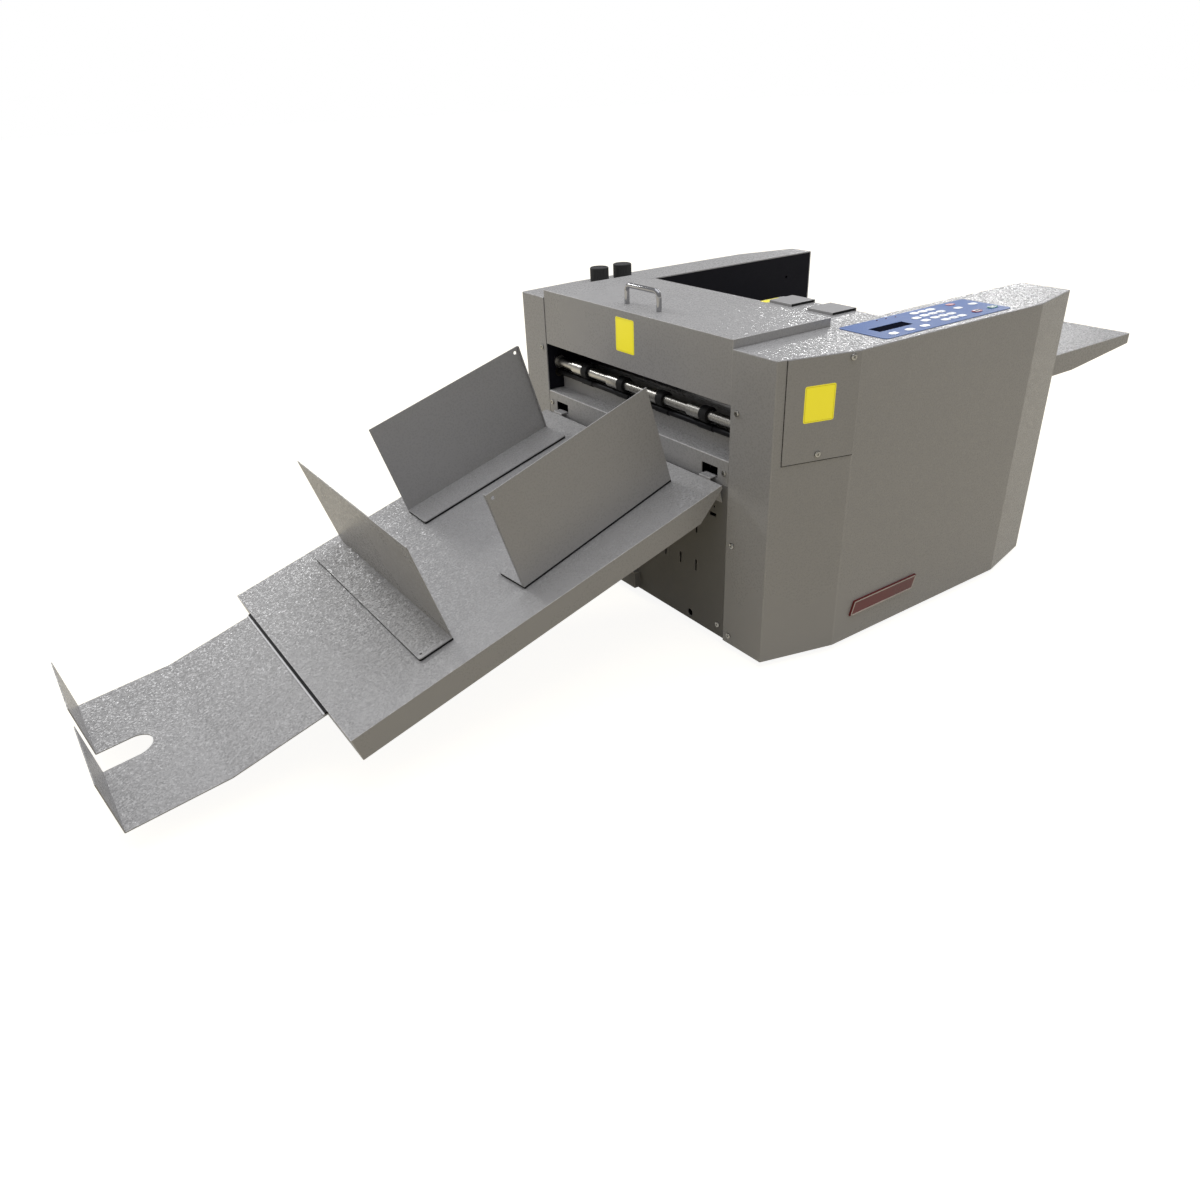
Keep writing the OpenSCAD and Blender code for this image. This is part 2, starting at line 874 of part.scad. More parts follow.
// Solid with round ends at two shafts of one height
module belt_loop(x0, w, r, ya, yb, z) {
    span([x0, x0 + w], [ya, yb], [z - r, z + r]);
    for (y = [ya, yb])
        bar_x([x0, x0 + w], r, y, z);
}

module feed_shaft(y, left_end) {
    bar_x([-frame_x + bush_flange_t + clear, frame_x - bush_flange_t - clear], journal_r + 2, y, drum_z);
    bar_x([-left_end, frame_out + 4], journal_r, y, drum_z);
    for (x = drum_places)
        bar_x([x - drum_w / 2 - 2, x + drum_w / 2 + 2], drum_r, y, drum_z);
}

module feed_drive_shaft() {
    color([0.7, 0.7, 0.7])
        feed_shaft(feed_y, left_motor_x);
}

module feed_idler_shaft() {
    color([0.7, 0.7, 0.7])
        feed_shaft(feed_back_y, frame_out + 4);
}

module feed_belts() {
    color([0.25, 0.25, 0.26])
        for (x = drum_places)
            difference() {
                belt_loop(x - drum_w / 2, drum_w, drum_r + clear + 1.5, feed_y, feed_back_y, drum_z);
                belt_loop(x - drum_w / 2 - eps, drum_w + 2 * eps, drum_r + clear, feed_y, feed_back_y,
                          drum_z);
            }
}

// Smooth sheet pieces that lead the paper, and the stack's front stop
module sheet_guides() {
    x = frame_x - clear;
    t = sheet_t;
    z = nip_z - 7;
    color([0.5, 0.5, 0.5]) {
        span([-x, x], [ledge_d + play, crease_y - anvil_w / 2 - 1], [z, z + t]);
        span([-x, x], [crease_y + anvil_w / 2 + 1, register_y - roller_d / 2 - 2], [anvil_top - t, anvil_top]);
        span([-x, x], [register_y + roller_d / 2 + 2, feed_y - 6], [anvil_top - t, anvil_top]);
        span([-x, x], [feed_y - 6 - t, feed_y - 6], [table_z - 80, anvil_top]);
    }
}

// Pad that holds the lower sheets back, on an arm from the stack's front stop
module separator_pad() {
    color([0.2, 0.12, 0.1])
        for (x = drum_places)
            span([x - 15, x + 15], [feed_y - 6 + play, feed_y + 12], [nip_z - 9, nip_z - 2]);
}

// One motor with its four posts, its face at x0, its posts back to the frame
module motor(x0, y, z) {
    span([x0, x0 + motor_l], [y - motor_w / 2, y + motor_w / 2], [z - motor_w / 2, z + motor_w / 2]);
    for (a = [-1, 1], b = [-1, 1])
        bar_x([frame_out, x0 + eps], motor_post_r, y + a * motor_post, z + b * motor_post);
}

module drive_motors() {
    color([0.2, 0.2, 0.22]) {
        motor(motor_x + clear, crease_y, ecc_z);
        motor(motor_x + clear, register_y, upper_z);
        motor(motor_x + clear, lift_y, lift_z);
        mirror([1, 0, 0])
            motor(left_motor_x + clear, feed_y, drum_z);
    }
}

// Creasing unit

module crease_anvil() {
    color([0.4, 0.4, 0.42])
        difference() {
            span([-frame_x, frame_x], [crease_y - anvil_w / 2, crease_y + anvil_w / 2],
                 [anvil_top - anvil_h, anvil_top]);
            // Creasing groove
            span([-gap_x, gap_x], [crease_y - blade_t, crease_y + blade_t], [anvil_top - 2, anvil_top + 1]);
        }
}

module crease_beam() {
    x = block_in - 6;
    color([0.5, 0.5, 0.52])
        difference() {
            union() {
                span([-x, x], [crease_y - beam_w / 2, crease_y + beam_w / 2], [beam_z, beam_z + beam_h]);
                span([-frame_x + 4, frame_x - 4], [crease_y - tongue_w / 2, crease_y + tongue_w / 2],
                     [beam_z, beam_z + beam_h]);
                both_sides()
                    span([ecc_x - 8, ecc_x + 8],
                         [crease_y - window_w / 2 - 6, crease_y + window_w / 2 + 6],
                         [beam_z + beam_h - eps, ecc_z - window_w / 2 + window_h + 7]);
            }
            both_sides()
                span([ecc_x - 9, ecc_x + 9], [crease_y - window_w / 2, crease_y + window_w / 2],
                     [ecc_z - window_w / 2, ecc_z - window_w / 2 + window_h]);
            // Slot of the blade
            span([-x + 4, x - 4], [crease_y - blade_t / 2 - play, crease_y + blade_t / 2 + play],
                 [beam_z - 1, beam_z + 10]);
        }
}

module crease_blade() {
    x = block_in - 11;
    color("silver")
        span([-x, x], [crease_y - blade_t / 2, crease_y + blade_t / 2], [blade_low, beam_z + 10 - play]);
}

module eccentric_shaft() {
    color([0.72, 0.72, 0.72]) {
        bar_x([-frame_out - 4, motor_x], ecc_journal_r, crease_y, ecc_z);
        both_sides()
            bar_x([ecc_x - ecc_w / 2, ecc_x + ecc_w / 2], ecc_r, crease_y, ecc_z + throw);
    }
}

// Adjusting knobs on the left cover

module knob(y) {
    z = body_h + clear;
    grooves = 30;
    color([0.05, 0.05, 0.05])
        translate([knob_x, y, z]) {
            difference() {
                union() {
                    cylinder(h = knob_h - 2, d = knob_d);
                    translate([0, 0, knob_h - 2 - play])
                        cylinder(h = 2 + play, d1 = knob_d, d2 = knob_d - 4);
                }
                for (i = [0 : grooves - 1])
                    rotate([0, 0, i * 360 / grooves])
                        translate([knob_d / 2 + 0.6, 0, 3])
                            cylinder(h = knob_h, r = 1.4);
            }
            translate([0, 0, -40])
                cylinder(h = 40 + eps, r = spindle_r);
        }
}

module front_knob() {
    knob(knob_y[0]);
}

module rear_knob() {
    knob(knob_y[1]);
}

// Delivery tray

// Places on the tray: X across, Y along it (down the slope is negative), Z square to it
module on_tray() {
    translate([0, -tray_gap, tray_z])
        rotate([slope, 0, 0])
            children();
}

module delivery_tray() {
    x = tray_w / 2;
    t = sheet_t;
    cut = tray_flange * 1.4;
    color([0.6, 0.6, 0.62]) {
        on_tray() {
            difference() {
                union() {
                    span([-x, x], [-tray_l, 0], [-t, 0]);
                    // Side flanges, cut at a slant at their upper end
                    both_sides()
                        translate([x - t, 0, 0])
                            rotate([90, 0, 90])
                                linear_extrude(height = t)
                                    polygon([[0, -t / 2], [-tray_l, -t / 2], [-tray_l, -tray_flange],
                                             [-cut, -tray_flange], [0, -6]]);
                    span([-x, x], [-tray_l, -tray_l + t], [-tray_flange, 0]);
                }
                // Way out of the extension
                span([ext_x - ext_w / 2 - 4, ext_x + ext_w / 2 + 4], [-tray_l - 1, -tray_l + t + 1],
                     [-ext_drop - 6, -t]);
            }
            // Flange that leans on the front panel
            span([-x + 8, x - 8], [-t, 0], [-tray_lean, -t / 2]);
        }
        both_sides()
            tray_hook();
    }
}

// Hook that reaches through the ledge's slot, with a lip behind it
module tray_hook() {
    x = [hook_x - hook_w / 2, hook_x + hook_w / 2];
    y0 = -tray_gap - hook_t / 2;
    z = [hook_z, hook_z + hook_t];
    span(x, [y0, y0 + hook_t], [tray_z - sheet_t, z[1]]);
    span(x, [y0, hook_lip_y + hook_t], z);
    span(x, [hook_lip_y, hook_lip_y + hook_t], [hook_z - hook_lip, z[1]]);
    // Bead that the tray tilts on
    bar_x(x, hook_t / 2 + hook_bead, (clear + cover_t) / 2, hook_z + hook_t / 2);
}

module extension_rails() {
    half = ext_w / 2;
    t = sheet_t;
    low = -ext_drop - t - clear;
    color([0.5, 0.5, 0.5])
        on_tray()
            translate([ext_x, 0, 0])
                both_sides() {
                    span([half + t, half + 2 * t], [-rail_s1, -rail_s0], [low - t, -t]);
                    span([half - 12, half + 2 * t], [-rail_s1, -rail_s0], [low - t, low]);
                }
}

module tray_extension() {
    half = ext_w / 2;
    t = sheet_t;
    last = ext_end - ext_bend;
    depth = 75;
    color([0.6, 0.6, 0.62])
        on_tray() {
            translate([ext_x, 0, -ext_drop])
                span([-half, half], [-ext_bend, -ext_in], [-t, 0]);
            translate([ext_x, -ext_bend, -ext_drop])
                rotate([ext_slope - slope, 0, 0])
                    difference() {
                        union() {
                            span([-half, half], [-last, 0], [-t, 0]);
                            bar_x([-half, half], t / 2, 0, -t / 2);
                            span([-half, half], [-last, -last + t], [-t, ext_flange]);
                        }
                        span([-ext_slot / 2, ext_slot / 2], [-last - 1, -last + depth - ext_slot / 2],
                             [-9, ext_flange + 1]);
                        translate([0, -last + depth - ext_slot / 2, -9])
                            cylinder(h = 18, d = ext_slot);
                    }
        }
}

// Foot with two round corners, from height z to z + h
module l_foot(l, foot, z, h) {
    span([0, foot - foot_r], [-l, 0], [z, z + h]);
    span([0, foot], [-l + foot_r, -foot_r], [z, z + h]);
    for (y = [-foot_r, -l + foot_r])
        translate([foot - foot_r, y, z])
            cylinder(h = h, r = foot_r);
}

// Upright sheet guide with its foot towards +X, along -Y from its near end. The end at return_y is bent over
// the foot, and the plate has a hole beside it
module l_guide(l, foot, h, hole_y, return_y) {
    t = sheet_t;
    z = magnet_t + 2 * clear;
    difference() {
        union() {
            span([0, t], [-l, 0], [z, h]);
            l_foot(l, foot, z, t);
            if (hole_y != 0)
                span([0, guide_return], [return_y, return_y + t], [z, h]);
        }
        if (hole_y != 0)
            translate([-1, hole_y, h - 9])
                rotate([0, 90, 0])
                    cylinder(h = t + 2, r = 3);
    }
}

module l_magnet(l, foot) {
    l_foot(l, foot, clear, magnet_t);
}

module left_guide_place() {
    on_tray()
        translate([left_guide_x, -guide_s, 0])
            children();
}

module right_guide_place() {
    on_tray()
        translate([right_guide_x, -guide_s + right_guide_ahead, 0])
            rotate([0, 0, right_guide_turn])
                mirror([1, 0, 0])
                    children();
}

module end_stop_place() {
    on_tray()
        translate([ext_x - 5 - stop_w / 2, -stop_s, 0])
            rotate([0, 0, -90])
                translate([0, stop_w, 0])
                    children();
}

module left_guide() {
    color([0.58, 0.58, 0.6])
        left_guide_place()
            l_guide(guide_l, guide_foot, guide_h, -9, -sheet_t);
}

module left_guide_magnet() {
    color([0.05, 0.05, 0.05])
        left_guide_place()
            l_magnet(guide_l, guide_foot);
}

module right_guide() {
    color([0.58, 0.58, 0.6])
        right_guide_place()
            l_guide(guide_l, guide_foot, guide_h, -guide_l + 9, -guide_l);
}

module right_guide_magnet() {
    color([0.05, 0.05, 0.05])
        right_guide_place()
            l_magnet(guide_l, guide_foot);
}

module end_stop() {
    color([0.58, 0.58, 0.6])
        end_stop_place()
            difference() {
                l_guide(stop_w, stop_foot, guide_h, 0, 0);
                // Small hole in the foot's corner
                translate([stop_foot - 7.5, -9.5, 0])
                    cylinder(h = 3 * magnet_t, d = 3.6);
            }
}

module end_stop_magnet() {
    color([0.05, 0.05, 0.05])
        end_stop_place()
            l_magnet(stop_w, stop_foot);
}

// Feed table

module feed_table() {
    x = table_w / 2;
    t = sheet_t;
    taper_y = body_d + 289;
    color([0.6, 0.6, 0.6]) {
        span([-x, x], [table_y, table_end], [table_z - t, table_z]);
        both_sides()
            translate([x - t, 0, 0])
                rotate([90, 0, 90])
                    linear_extrude(height = t)
                        polygon([[table_y, table_z - t / 2], [table_y, table_z - table_flange],
                                 [taper_y, table_z - table_flange],
                                 [table_end, table_z - table_end_flange], [table_end, table_z - t / 2]]);
        span([-x, x], [table_end - t, table_end], [table_z - table_end_flange, table_z]);
    }
}

// Four bushed blocks on the table's flanges; the front two carry the racks
module table_blocks() {
    x0 = table_w / 2;
    x1 = frame_x - 1.5;
    rack_y = lift_y - pinion_r;
    pitch = PI * pinion_m;
    z_block = [table_z - table_flange + 2, table_z - 6];
    count = 26;
    color([0.3, 0.3, 0.32])
        both_sides()
            difference() {
                union() {
                    for (y = rod_y)
                        span([x0, x1], [y - 12, y + 12], z_block);
                    span([rod_x - 6, rod_x + 6], [rod_y[0] + 11, rack_y - 1.8], [lift_z - 52, z_block[1]]);
                    // Rack teeth, one of them level with the pinion's shaft
                    for (i = [-10 : count - 11])
                        if (lift_z + (i + 0.5) * pitch < z_block[1] - pitch)
                            translate([rod_x - 5, rack_y, lift_z + i * pitch])
                                rotate([90, 0, 90])
                                    linear_extrude(height = 10)
                                        polygon([[-2.3, -1.75], [0, -0.22 * pitch], [1.2, -0.62],
                                                 [1.2, 0.62], [0, 0.22 * pitch], [-2.3, 1.75]]);
                }
                for (y = rod_y)
                    translate([rod_x, y, 0])
                        cylinder(h = body_h, r = rod_r + play);
            }
}

module guide_rods() {
    color("silver")
        both_sides()
            for (y = rod_y) {
                translate([rod_x, y, floor_z])
                    cylinder(h = rod_top - floor_z, r = rod_r);
                span([rod_x - 7, frame_x], [y - 10, y + 10], [rod_top - 10, rod_top]);
            }
}

module lift_shaft() {
    color([0.7, 0.7, 0.7]) {
        shaft(journal_r + 1, lift_y, lift_z, motor_x);
        for (x = [-rod_x - 5, rod_x - 5])
            translate([x, lift_y, lift_z])
                gear_x_axis(pinion_teeth, pinion_m, 10, 90 + 180 / pinion_teeth);
    }
}

module feed_guide() {
    t = sheet_t;
    z = table_z + clear;
    span([feed_guide_x, feed_guide_x + t], [330, 640], [z, z + feed_guide_h]);
    span([feed_guide_x, feed_guide_x + 30], [330, 640], [z, z + t]);
}

module right_feed_guide() {
    color([0.6, 0.6, 0.6])
        feed_guide();
}

module left_feed_guide() {
    color([0.6, 0.6, 0.6])
        mirror([1, 0, 0])
            feed_guide();
}

// Small sheet guides on the deck's rear edge, each on its own magnet sheet, at x along the deck
module deck_plate(x) {
    z = body_h + clear;
    top = z + deck_magnet_t + 1.2;
    color([0.62, 0.62, 0.62]) {
        span(x, [deck_step_y + 1, deck_y1 + 3], [z + deck_magnet_t, top]);
        span(x, [deck_y1 + 1.8, deck_y1 + 3], [body_h - 36, top]);
        span(x, [deck_step_y + 1, deck_y1 - 1], [z, z + deck_magnet_t + play]);
    }
}

module left_deck_plate() {
    deck_plate([63, 115]);
}

module right_deck_plate() {
    deck_plate([150, 206]);
}

// Controls

// Oval pad of size s with its middle at the origin
module oval(s, h) {
    r = s[0] / 2;
    translate([-r, -(s[1] / 2 - r), 0])
        cube([s[0], s[1] - 2 * r, h]);
    for (y = [-1, 1])
        translate([0, y * (s[1] / 2 - r), 0])
            cylinder(h = h, r = r);
}

function pad_places() = concat(pads, [
    for (i = [0 : 3], j = [0 : 2]) pad_block + key_pitch * [i, j]
]);

module key_film() {
    color([0.42, 0.5, 0.72])
        translate([film_x, film_y, film_z])
            difference() {
                union() {
                    round_rect([film_w, film_l], 7, film_t);
                    for (p = pad_places())
                        translate([p[0], p[1] + keys_y - film_y, film_t - play])
                            oval(pad, 0.6);
                }
                translate([lcd_at[0], lcd_at[1] + keys_y - film_y, -1])
                    cube([lcd[0], lcd[1], 4]);
                for (p = [start_at, stop_at])
                    translate([p[0], p[1] + keys_y - film_y, -1])
                        oval([cap[0] + 1, cap[1] + 1], 4);
            }
}

module display_window() {
    color([0.05, 0.08, 0.15])
        translate([film_x + lcd_at[0] + play, keys_y + lcd_at[1] + play, film_z])
            cube([lcd[0] - 2 * play, lcd[1] - 2 * play, film_t - 0.2]);
}

module key_cap(place) {
    translate([film_x + place[0], keys_y + place[1], film_z + key_travel + play])
        oval(cap, cap_h);
}

module start_key() {
    color([0.3, 0.7, 0.4])
        key_cap(start_at);
}

module stop_key() {
    color([0.8, 0.2, 0.2])
        key_cap(stop_at);
}

module control_board() {
    top = body_h - cover_t;
    color([0.1, 0.35, 0.2])
        translate([film_x + 4, film_y + 8, 0]) {
            span([0, film_w - 8], [0, film_l - 16], [top - 12, top - 10.4]);
            for (x = [5, film_w - 13], y = [5, film_l - 21])
                translate([x, y, top - 11])
                    cylinder(h = 11, r = 3);
            span([20, 60], [40, 100], [top - 18, top - 12 + play]);
            span([18, 44], [130, 156], [top - 15, top - 12 + play]);
            span([18, 70], [180, 200], [top - 22, top - 12 + play]);
        }
}

module power_supply() {
    color([0.6, 0.6, 0.6])
        translate([-frame_out - 6 - supply[0], supply_y, floor_z])
            cube(supply);
}

// Housing in the rear panel that holds the mains socket and the rocker switch
module power_inlet() {
    y = rear_panel_y + sheet_t;
    color([0.08, 0.08, 0.08])
        difference() {
            union() {
                span(inset_span(unit_x, clear), [y - 24, y + play], inset_span(unit_z, clear));
                span(inset_span(unit_x, -3), [y + play, y + 3], inset_span(unit_z, -4));
            }
            // Socket
            span([unit_x[0] + 3, unit_x[0] + 26], [y - 18, y + 5], [unit_z[0] + 4, unit_z[1] - 4]);
            // Pocket and bearing holes of the switch
            span([rocker_x - rocker_w / 2 - 0.6, rocker_x + rocker_w / 2 + 0.6], [y - 16, y + 5],
                 [rocker_z - rocker_h / 2 - 1.5, rocker_z + rocker_h / 2 + 1.5]);
            bar_x([rocker_x - rocker_w / 2 - 3.5, rocker_x + rocker_w / 2 + 3.5], 2 + play, rocker_y,
                  rocker_z);
        }
}

function inset_span(v, d) = [v[0] + d, v[1] - d];

module power_switch() {
    color([0.6, 0.1, 0.1])
        translate([rocker_x, rocker_y, rocker_z])
            rotate([rocker_tilt, 0, 0])
                union() {
                    span([-rocker_w / 2, rocker_w / 2], [-6, 5.5], [-rocker_h / 2, rocker_h / 2]);
                    bar_x([-rocker_w / 2 - 3, rocker_w / 2 + 3], 2, 0, 0);
                }
}

// Moves the whole machine to the middle of its footprint, with its feet on the desk
module placed() {
    translate([-mid_x, -mid_y, foot_h])
        children();
}

placed() base_plate();
placed() rubber_feet();
placed() left_frame();
placed() right_frame();
placed() tie_rods();
placed() front_panel();
placed() delivery_ledge();
placed() left_cover();
placed() right_cover();
placed() access_cover();
placed() rear_panel();
placed() rear_deck();
placed() cover_screws();
placed() key_film();
placed() display_window();
placed() start_key();
placed() stop_key();
placed() control_board();
placed() power_supply();
placed() power_inlet();
placed() power_switch();
placed() drive_motors();
placed() drive_belt();
placed() shaft_bushes();
placed() sheet_guides();
placed() crease_anvil();
placed() crease_beam();
placed() crease_blade();
placed() eccentric_shaft();
placed() hood();
placed() hood_handle();
placed() hood_hinges();
placed() delivery_shaft();
placed() delivery_rings();
placed() lower_delivery_shaft();
placed() register_shaft();
placed() lower_register_shaft();
placed() feed_drive_shaft();
placed() feed_idler_shaft();
placed() feed_belts();
placed() separator_pad();
placed() front_knob();
placed() rear_knob();
placed() delivery_tray();
placed() extension_rails();
placed() tray_extension();
placed() left_guide();
placed() left_guide_magnet();
placed() right_guide();
placed() right_guide_magnet();
placed() end_stop();
placed() end_stop_magnet();
placed() feed_table();
placed() table_blocks();
placed() guide_rods();
placed() lift_shaft();
placed() left_feed_guide();
placed() right_feed_guide();
placed() left_deck_plate();
placed() right_deck_plate();
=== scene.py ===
"""Looks of a desktop paper creasing machine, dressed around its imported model.

Lengths in the code are millimetres in the machine's own places, as the source of the solids has them:
X across the paper from its middle, Y from the front face, Z from the covers' lower edge.
"""
import json
import math

import bmesh
import bpy
from mathutils import Matrix, Vector


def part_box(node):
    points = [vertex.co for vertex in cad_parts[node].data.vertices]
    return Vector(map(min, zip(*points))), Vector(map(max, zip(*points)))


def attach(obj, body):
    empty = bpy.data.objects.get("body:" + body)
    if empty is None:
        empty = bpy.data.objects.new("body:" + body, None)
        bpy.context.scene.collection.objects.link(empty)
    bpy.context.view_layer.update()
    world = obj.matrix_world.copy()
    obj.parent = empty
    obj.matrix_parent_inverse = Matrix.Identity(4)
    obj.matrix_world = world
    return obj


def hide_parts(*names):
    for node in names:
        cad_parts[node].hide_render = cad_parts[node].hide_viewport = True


bl_info = {
    "name": "Paper creasing machine",
    "version": (1, 0, 0),
    "blender": (4, 5, 0),
    "location": "3D View > Sidebar > Creaser",
    "description": "Dresses the packed model of a paper creasing machine with its finished pieces",
    "category": "Object",
}

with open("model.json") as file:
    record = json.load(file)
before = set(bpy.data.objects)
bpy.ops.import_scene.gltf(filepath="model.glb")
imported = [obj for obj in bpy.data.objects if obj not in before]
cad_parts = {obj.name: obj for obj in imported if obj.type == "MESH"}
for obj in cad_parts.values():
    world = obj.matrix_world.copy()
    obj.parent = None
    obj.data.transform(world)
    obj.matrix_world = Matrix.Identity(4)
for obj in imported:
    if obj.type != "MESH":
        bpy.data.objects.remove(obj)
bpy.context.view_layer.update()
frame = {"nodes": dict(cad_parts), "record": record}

MM = 0.001
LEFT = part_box("left_cover")
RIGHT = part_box("right_cover")
HOME = Vector(((LEFT[1].x + RIGHT[0].x) / 2, LEFT[0].y, LEFT[0].z))
COVER_TOP = (LEFT[1].z - HOME.z) / MM
BODY_OF = {node: body for body, nodes in frame["record"]["behaviour"]["bodies"].items() for node in nodes}

# What is merged, what counts as a fold or as thin, and what is shaded smooth, in metres and radians
WELD = 2e-6
FLAT = math.radians(0.6)
SHARP = math.radians(25)
SHALLOW = math.radians(2.5)
SMOOTH = math.radians(35)
WIDE_FACE = 8 * MM
THIN_FACE = 3.2 * MM

# The tray's top and the foot and run of the right cover's slanted corner, as the source of the solids has them
TRAY_SLOPE = math.radians(16.65)
TRAY_TOP = (0, -10.3, 281.6)
SLANT_FOOT = (345, 0)
SLANT_RUN = Vector((35, 131, 0))
SLANT_ALONG = SLANT_RUN.normalized()
SLANT_OUT = SLANT_ALONG.cross(Vector((0, 0, 1)))


# Places

def at(x, y, z):
    """A place of the machine, in metres of the shared frame."""
    return HOME + Vector((x, y, z)) * MM


def on_tray(x, along, up):
    """A place on the tray's top: across, down the slope and square to it."""
    c, s = math.cos(TRAY_SLOPE), math.sin(TRAY_SLOPE)
    return at(x, TRAY_TOP[1] - along * c - up * s, TRAY_TOP[2] - along * s + up * c)


def on_slant(along, out, z):
    """A place on the right cover's slanted corner: along it from the front, out of it, and up."""
    return at(*SLANT_FOOT, z) + (SLANT_ALONG * along + SLANT_OUT * out) * MM


def middle_of(lo, hi):
    """The middle of a box, seen from above, at its lowest height."""
    return Vector(((lo.x + hi.x) / 2, (lo.y + hi.y) / 2, lo.z))


def axes(origin, right, up):
    """Matrix that lays a drawing's X along right, its Y along up, and its Z out of the face."""
    r = Vector(right).normalized()
    out = r.cross(Vector(up)).normalized()
    m = Matrix((r, out.cross(r), out)).transposed().to_4x4()
    m.translation = origin
    return m


# Meshes

def copy_of(node):
    """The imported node's mesh with its triangles merged back into whole faces."""
    bm = bmesh.new()
    bm.from_mesh(frame["nodes"][node].data)
    bmesh.ops.remove_doubles(bm, verts=bm.verts, dist=WELD)
    bmesh.ops.dissolve_limit(bm, angle_limit=FLAT, verts=bm.verts, edges=bm.edges,
                             use_dissolve_boundaries=False, delimit=set())
    return bm


def verts_in(geom):
    return [g for g in geom if isinstance(g, bmesh.types.BMVert)]


def face_in(geom):
    return next(g for g in geom if isinstance(g, bmesh.types.BMFace))


def edges_between(verts):
    """The edges that have both their ends among these."""
    verts = set(verts)
    return [e for e in {e for v in verts for e in v.link_edges} if all(v in verts for v in e.verts)]


def faces_round(verts):
    return list({f for v in verts for f in v.link_faces})


def joined(verts):
    """These vertices and every one that edges join to them."""
    found = dict.fromkeys(verts)
    todo = list(found)
    for v in todo:
        for w in (w for e in v.link_edges for w in e.verts if w not in found):
            found[w] = None
            todo.append(w)
    return todo


def bevel(bm, geom, width, segments, affect='EDGES', slide=False):
    return bmesh.ops.bevel(bm, geom=geom, offset=width * MM, offset_type='OFFSET', segments=segments,
                           profile=0.5, affect=affect, clamp_overlap=True, material=-1,
                           loop_slide=slide)["faces"]


def drawn_out(bm, edges, vec=(0, 0, 0)):
    """Extrudes a ring of edges and moves it; returns the new ring's vertices."""
    verts = verts_in(bmesh.ops.extrude_edge_only(bm, edges=edges)["geom"])
    bmesh.ops.translate(bm, verts=verts, vec=vec)
    return verts


def inset(bm, face, width, depth=0):
    """Insets a face by width, and moves it out by depth."""
    return bmesh.ops.inset_region(bm, faces=[face], thickness=width * MM, depth=depth * MM)["faces"]


def placed(name, data):
    """A new object of the scene, unmoved."""
    o = bpy.data.objects.new(name, data)
    bpy.context.scene.collection.objects.link(o)
    return o


def edge_mark(bm):
    return bm.faces.layers.float.get("edge") or bm.faces.layers.float.new("edge")


def face_width(face):
    return 2 * face.calc_area() / face.calc_perimeter()


def round_edges(bm, edges, radius, segments, rub_and_highlight=1.0):
    """Bevels these edges and marks how far the new faces are rubbed and given a painted highlight."""
    mark = edge_mark(bm)
    if not edges or radius <= 0:
        return
    for f in bevel(bm, edges, radius, segments, slide=True):
        f[mark] = rub_and_highlight


def is_fold(e):
    """True for any crease between two wide faces, however shallow."""
    return (len(e.link_faces) == 2 and e.calc_face_angle(0) > SHALLOW
            and min(face_width(f) for f in e.link_faces) > WIDE_FACE)


def soften(bm, bend, edge, rub_and_highlight=1.0):
    """Rounds the folds of the sheet by bend, and its cut edges by edge; the last argument is the wear and
    painted highlight of the folds.
    """
    def sharp(e, thin):
        if len(e.link_faces) != 2 or not e.is_convex:
            return False
        if e.calc_face_angle(0) < SHARP:
            return not thin and is_fold(e)
        return (min(face_width(f) for f in e.link_faces) < THIN_FACE) is thin
    round_edges(bm, [e for e in bm.edges if sharp(e, False)], bend, 4, rub_and_highlight)
    round_edges(bm, [e for e in bm.edges if sharp(e, True)], edge, 2)


def piece(name, bm, material, body, replaces=(), smooth=True):
    """Makes the finished mesh an object that rides on its body."""
    mesh = bpy.data.meshes.new(name)
    for e in bm.edges:
        e.smooth = len(e.link_faces) == 2 and e.calc_face_angle(0) < SMOOTH and not is_fold(e)
    for f in bm.faces:
        f.smooth = smooth
    edge_mark(bm)
    bm.to_mesh(mesh)
    bm.free()
    o = placed(name, mesh)
    for m in (material if isinstance(material, (list, tuple)) else [material]):
        mesh.materials.append(m)
    if smooth:
        w = o.modifiers.new("Weighted normals", 'WEIGHTED_NORMAL')
        w.keep_sharp = True
        w.weight = 80
    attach(o, body)
    if replaces:
        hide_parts(*replaces)
    return o


def dress(node, name, material, bend=1.2, edge=0.3, rub_and_highlight=1.0):
    """A softened copy of a node stands for it."""
    bm = copy_of(node)
    soften(bm, bend, edge, rub_and_highlight)
    return piece(name, bm, material, BODY_OF[node], [node])


def coat(node, material):
    """Gives a node that stays its material."""
    o = frame["nodes"][node]
    for s in o.material_slots:
        s.material = material


def turned(bm, profile, origin, axis, steps=48):
    """Adds a closed turned shape: profile holds places along the axis and radii, both ends on the axis."""
    axis = Vector(axis).normalized()
    side = axis.orthogonal().normalized()
    verts = [bm.verts.new(origin + axis * a * MM + side * r * MM) for a, r in profile]
    edges = [bm.edges.new(pair) for pair in zip(verts, verts[1:])]
    bmesh.ops.spin(bm, geom=verts + edges, cent=origin, axis=axis, angle=2 * math.pi,
                   steps=steps, use_merge=True, use_duplicate=False)
    made = joined(verts)
    bmesh.ops.remove_doubles(bm, verts=made, dist=WELD)
    bmesh.ops.recalc_face_normals(bm, faces=faces_round(v for v in made if v.is_valid))


def plate(bm, size, corner, depth, place, segments=5):
    """Adds a rounded rectangle with its back at the place's origin; returns its front face."""
    w, h = size
    old = set(bm.faces)
    verts = bmesh.ops.create_grid(bm, x_segments=1, y_segments=1, size=0.5)["verts"]
    bmesh.ops.scale(bm, verts=verts, vec=(w * MM, h * MM, 1))
    if corner:
        bevel(bm, verts, corner, segments, 'VERTICES')
    face = next(f for f in bm.faces if f not in old)
    top = face_in(bmesh.ops.extrude_face_region(bm, geom=[face], use_keep_orig=True)["geom"])
    bmesh.ops.translate(bm, verts=top.verts, vec=(0, 0, depth * MM))
    both = list(top.verts) + list(face.verts)
    bmesh.ops.recalc_face_normals(bm, faces=faces_round(both))
    bmesh.ops.transform(bm, matrix=place, verts=both)
    return top


# Shader helpers

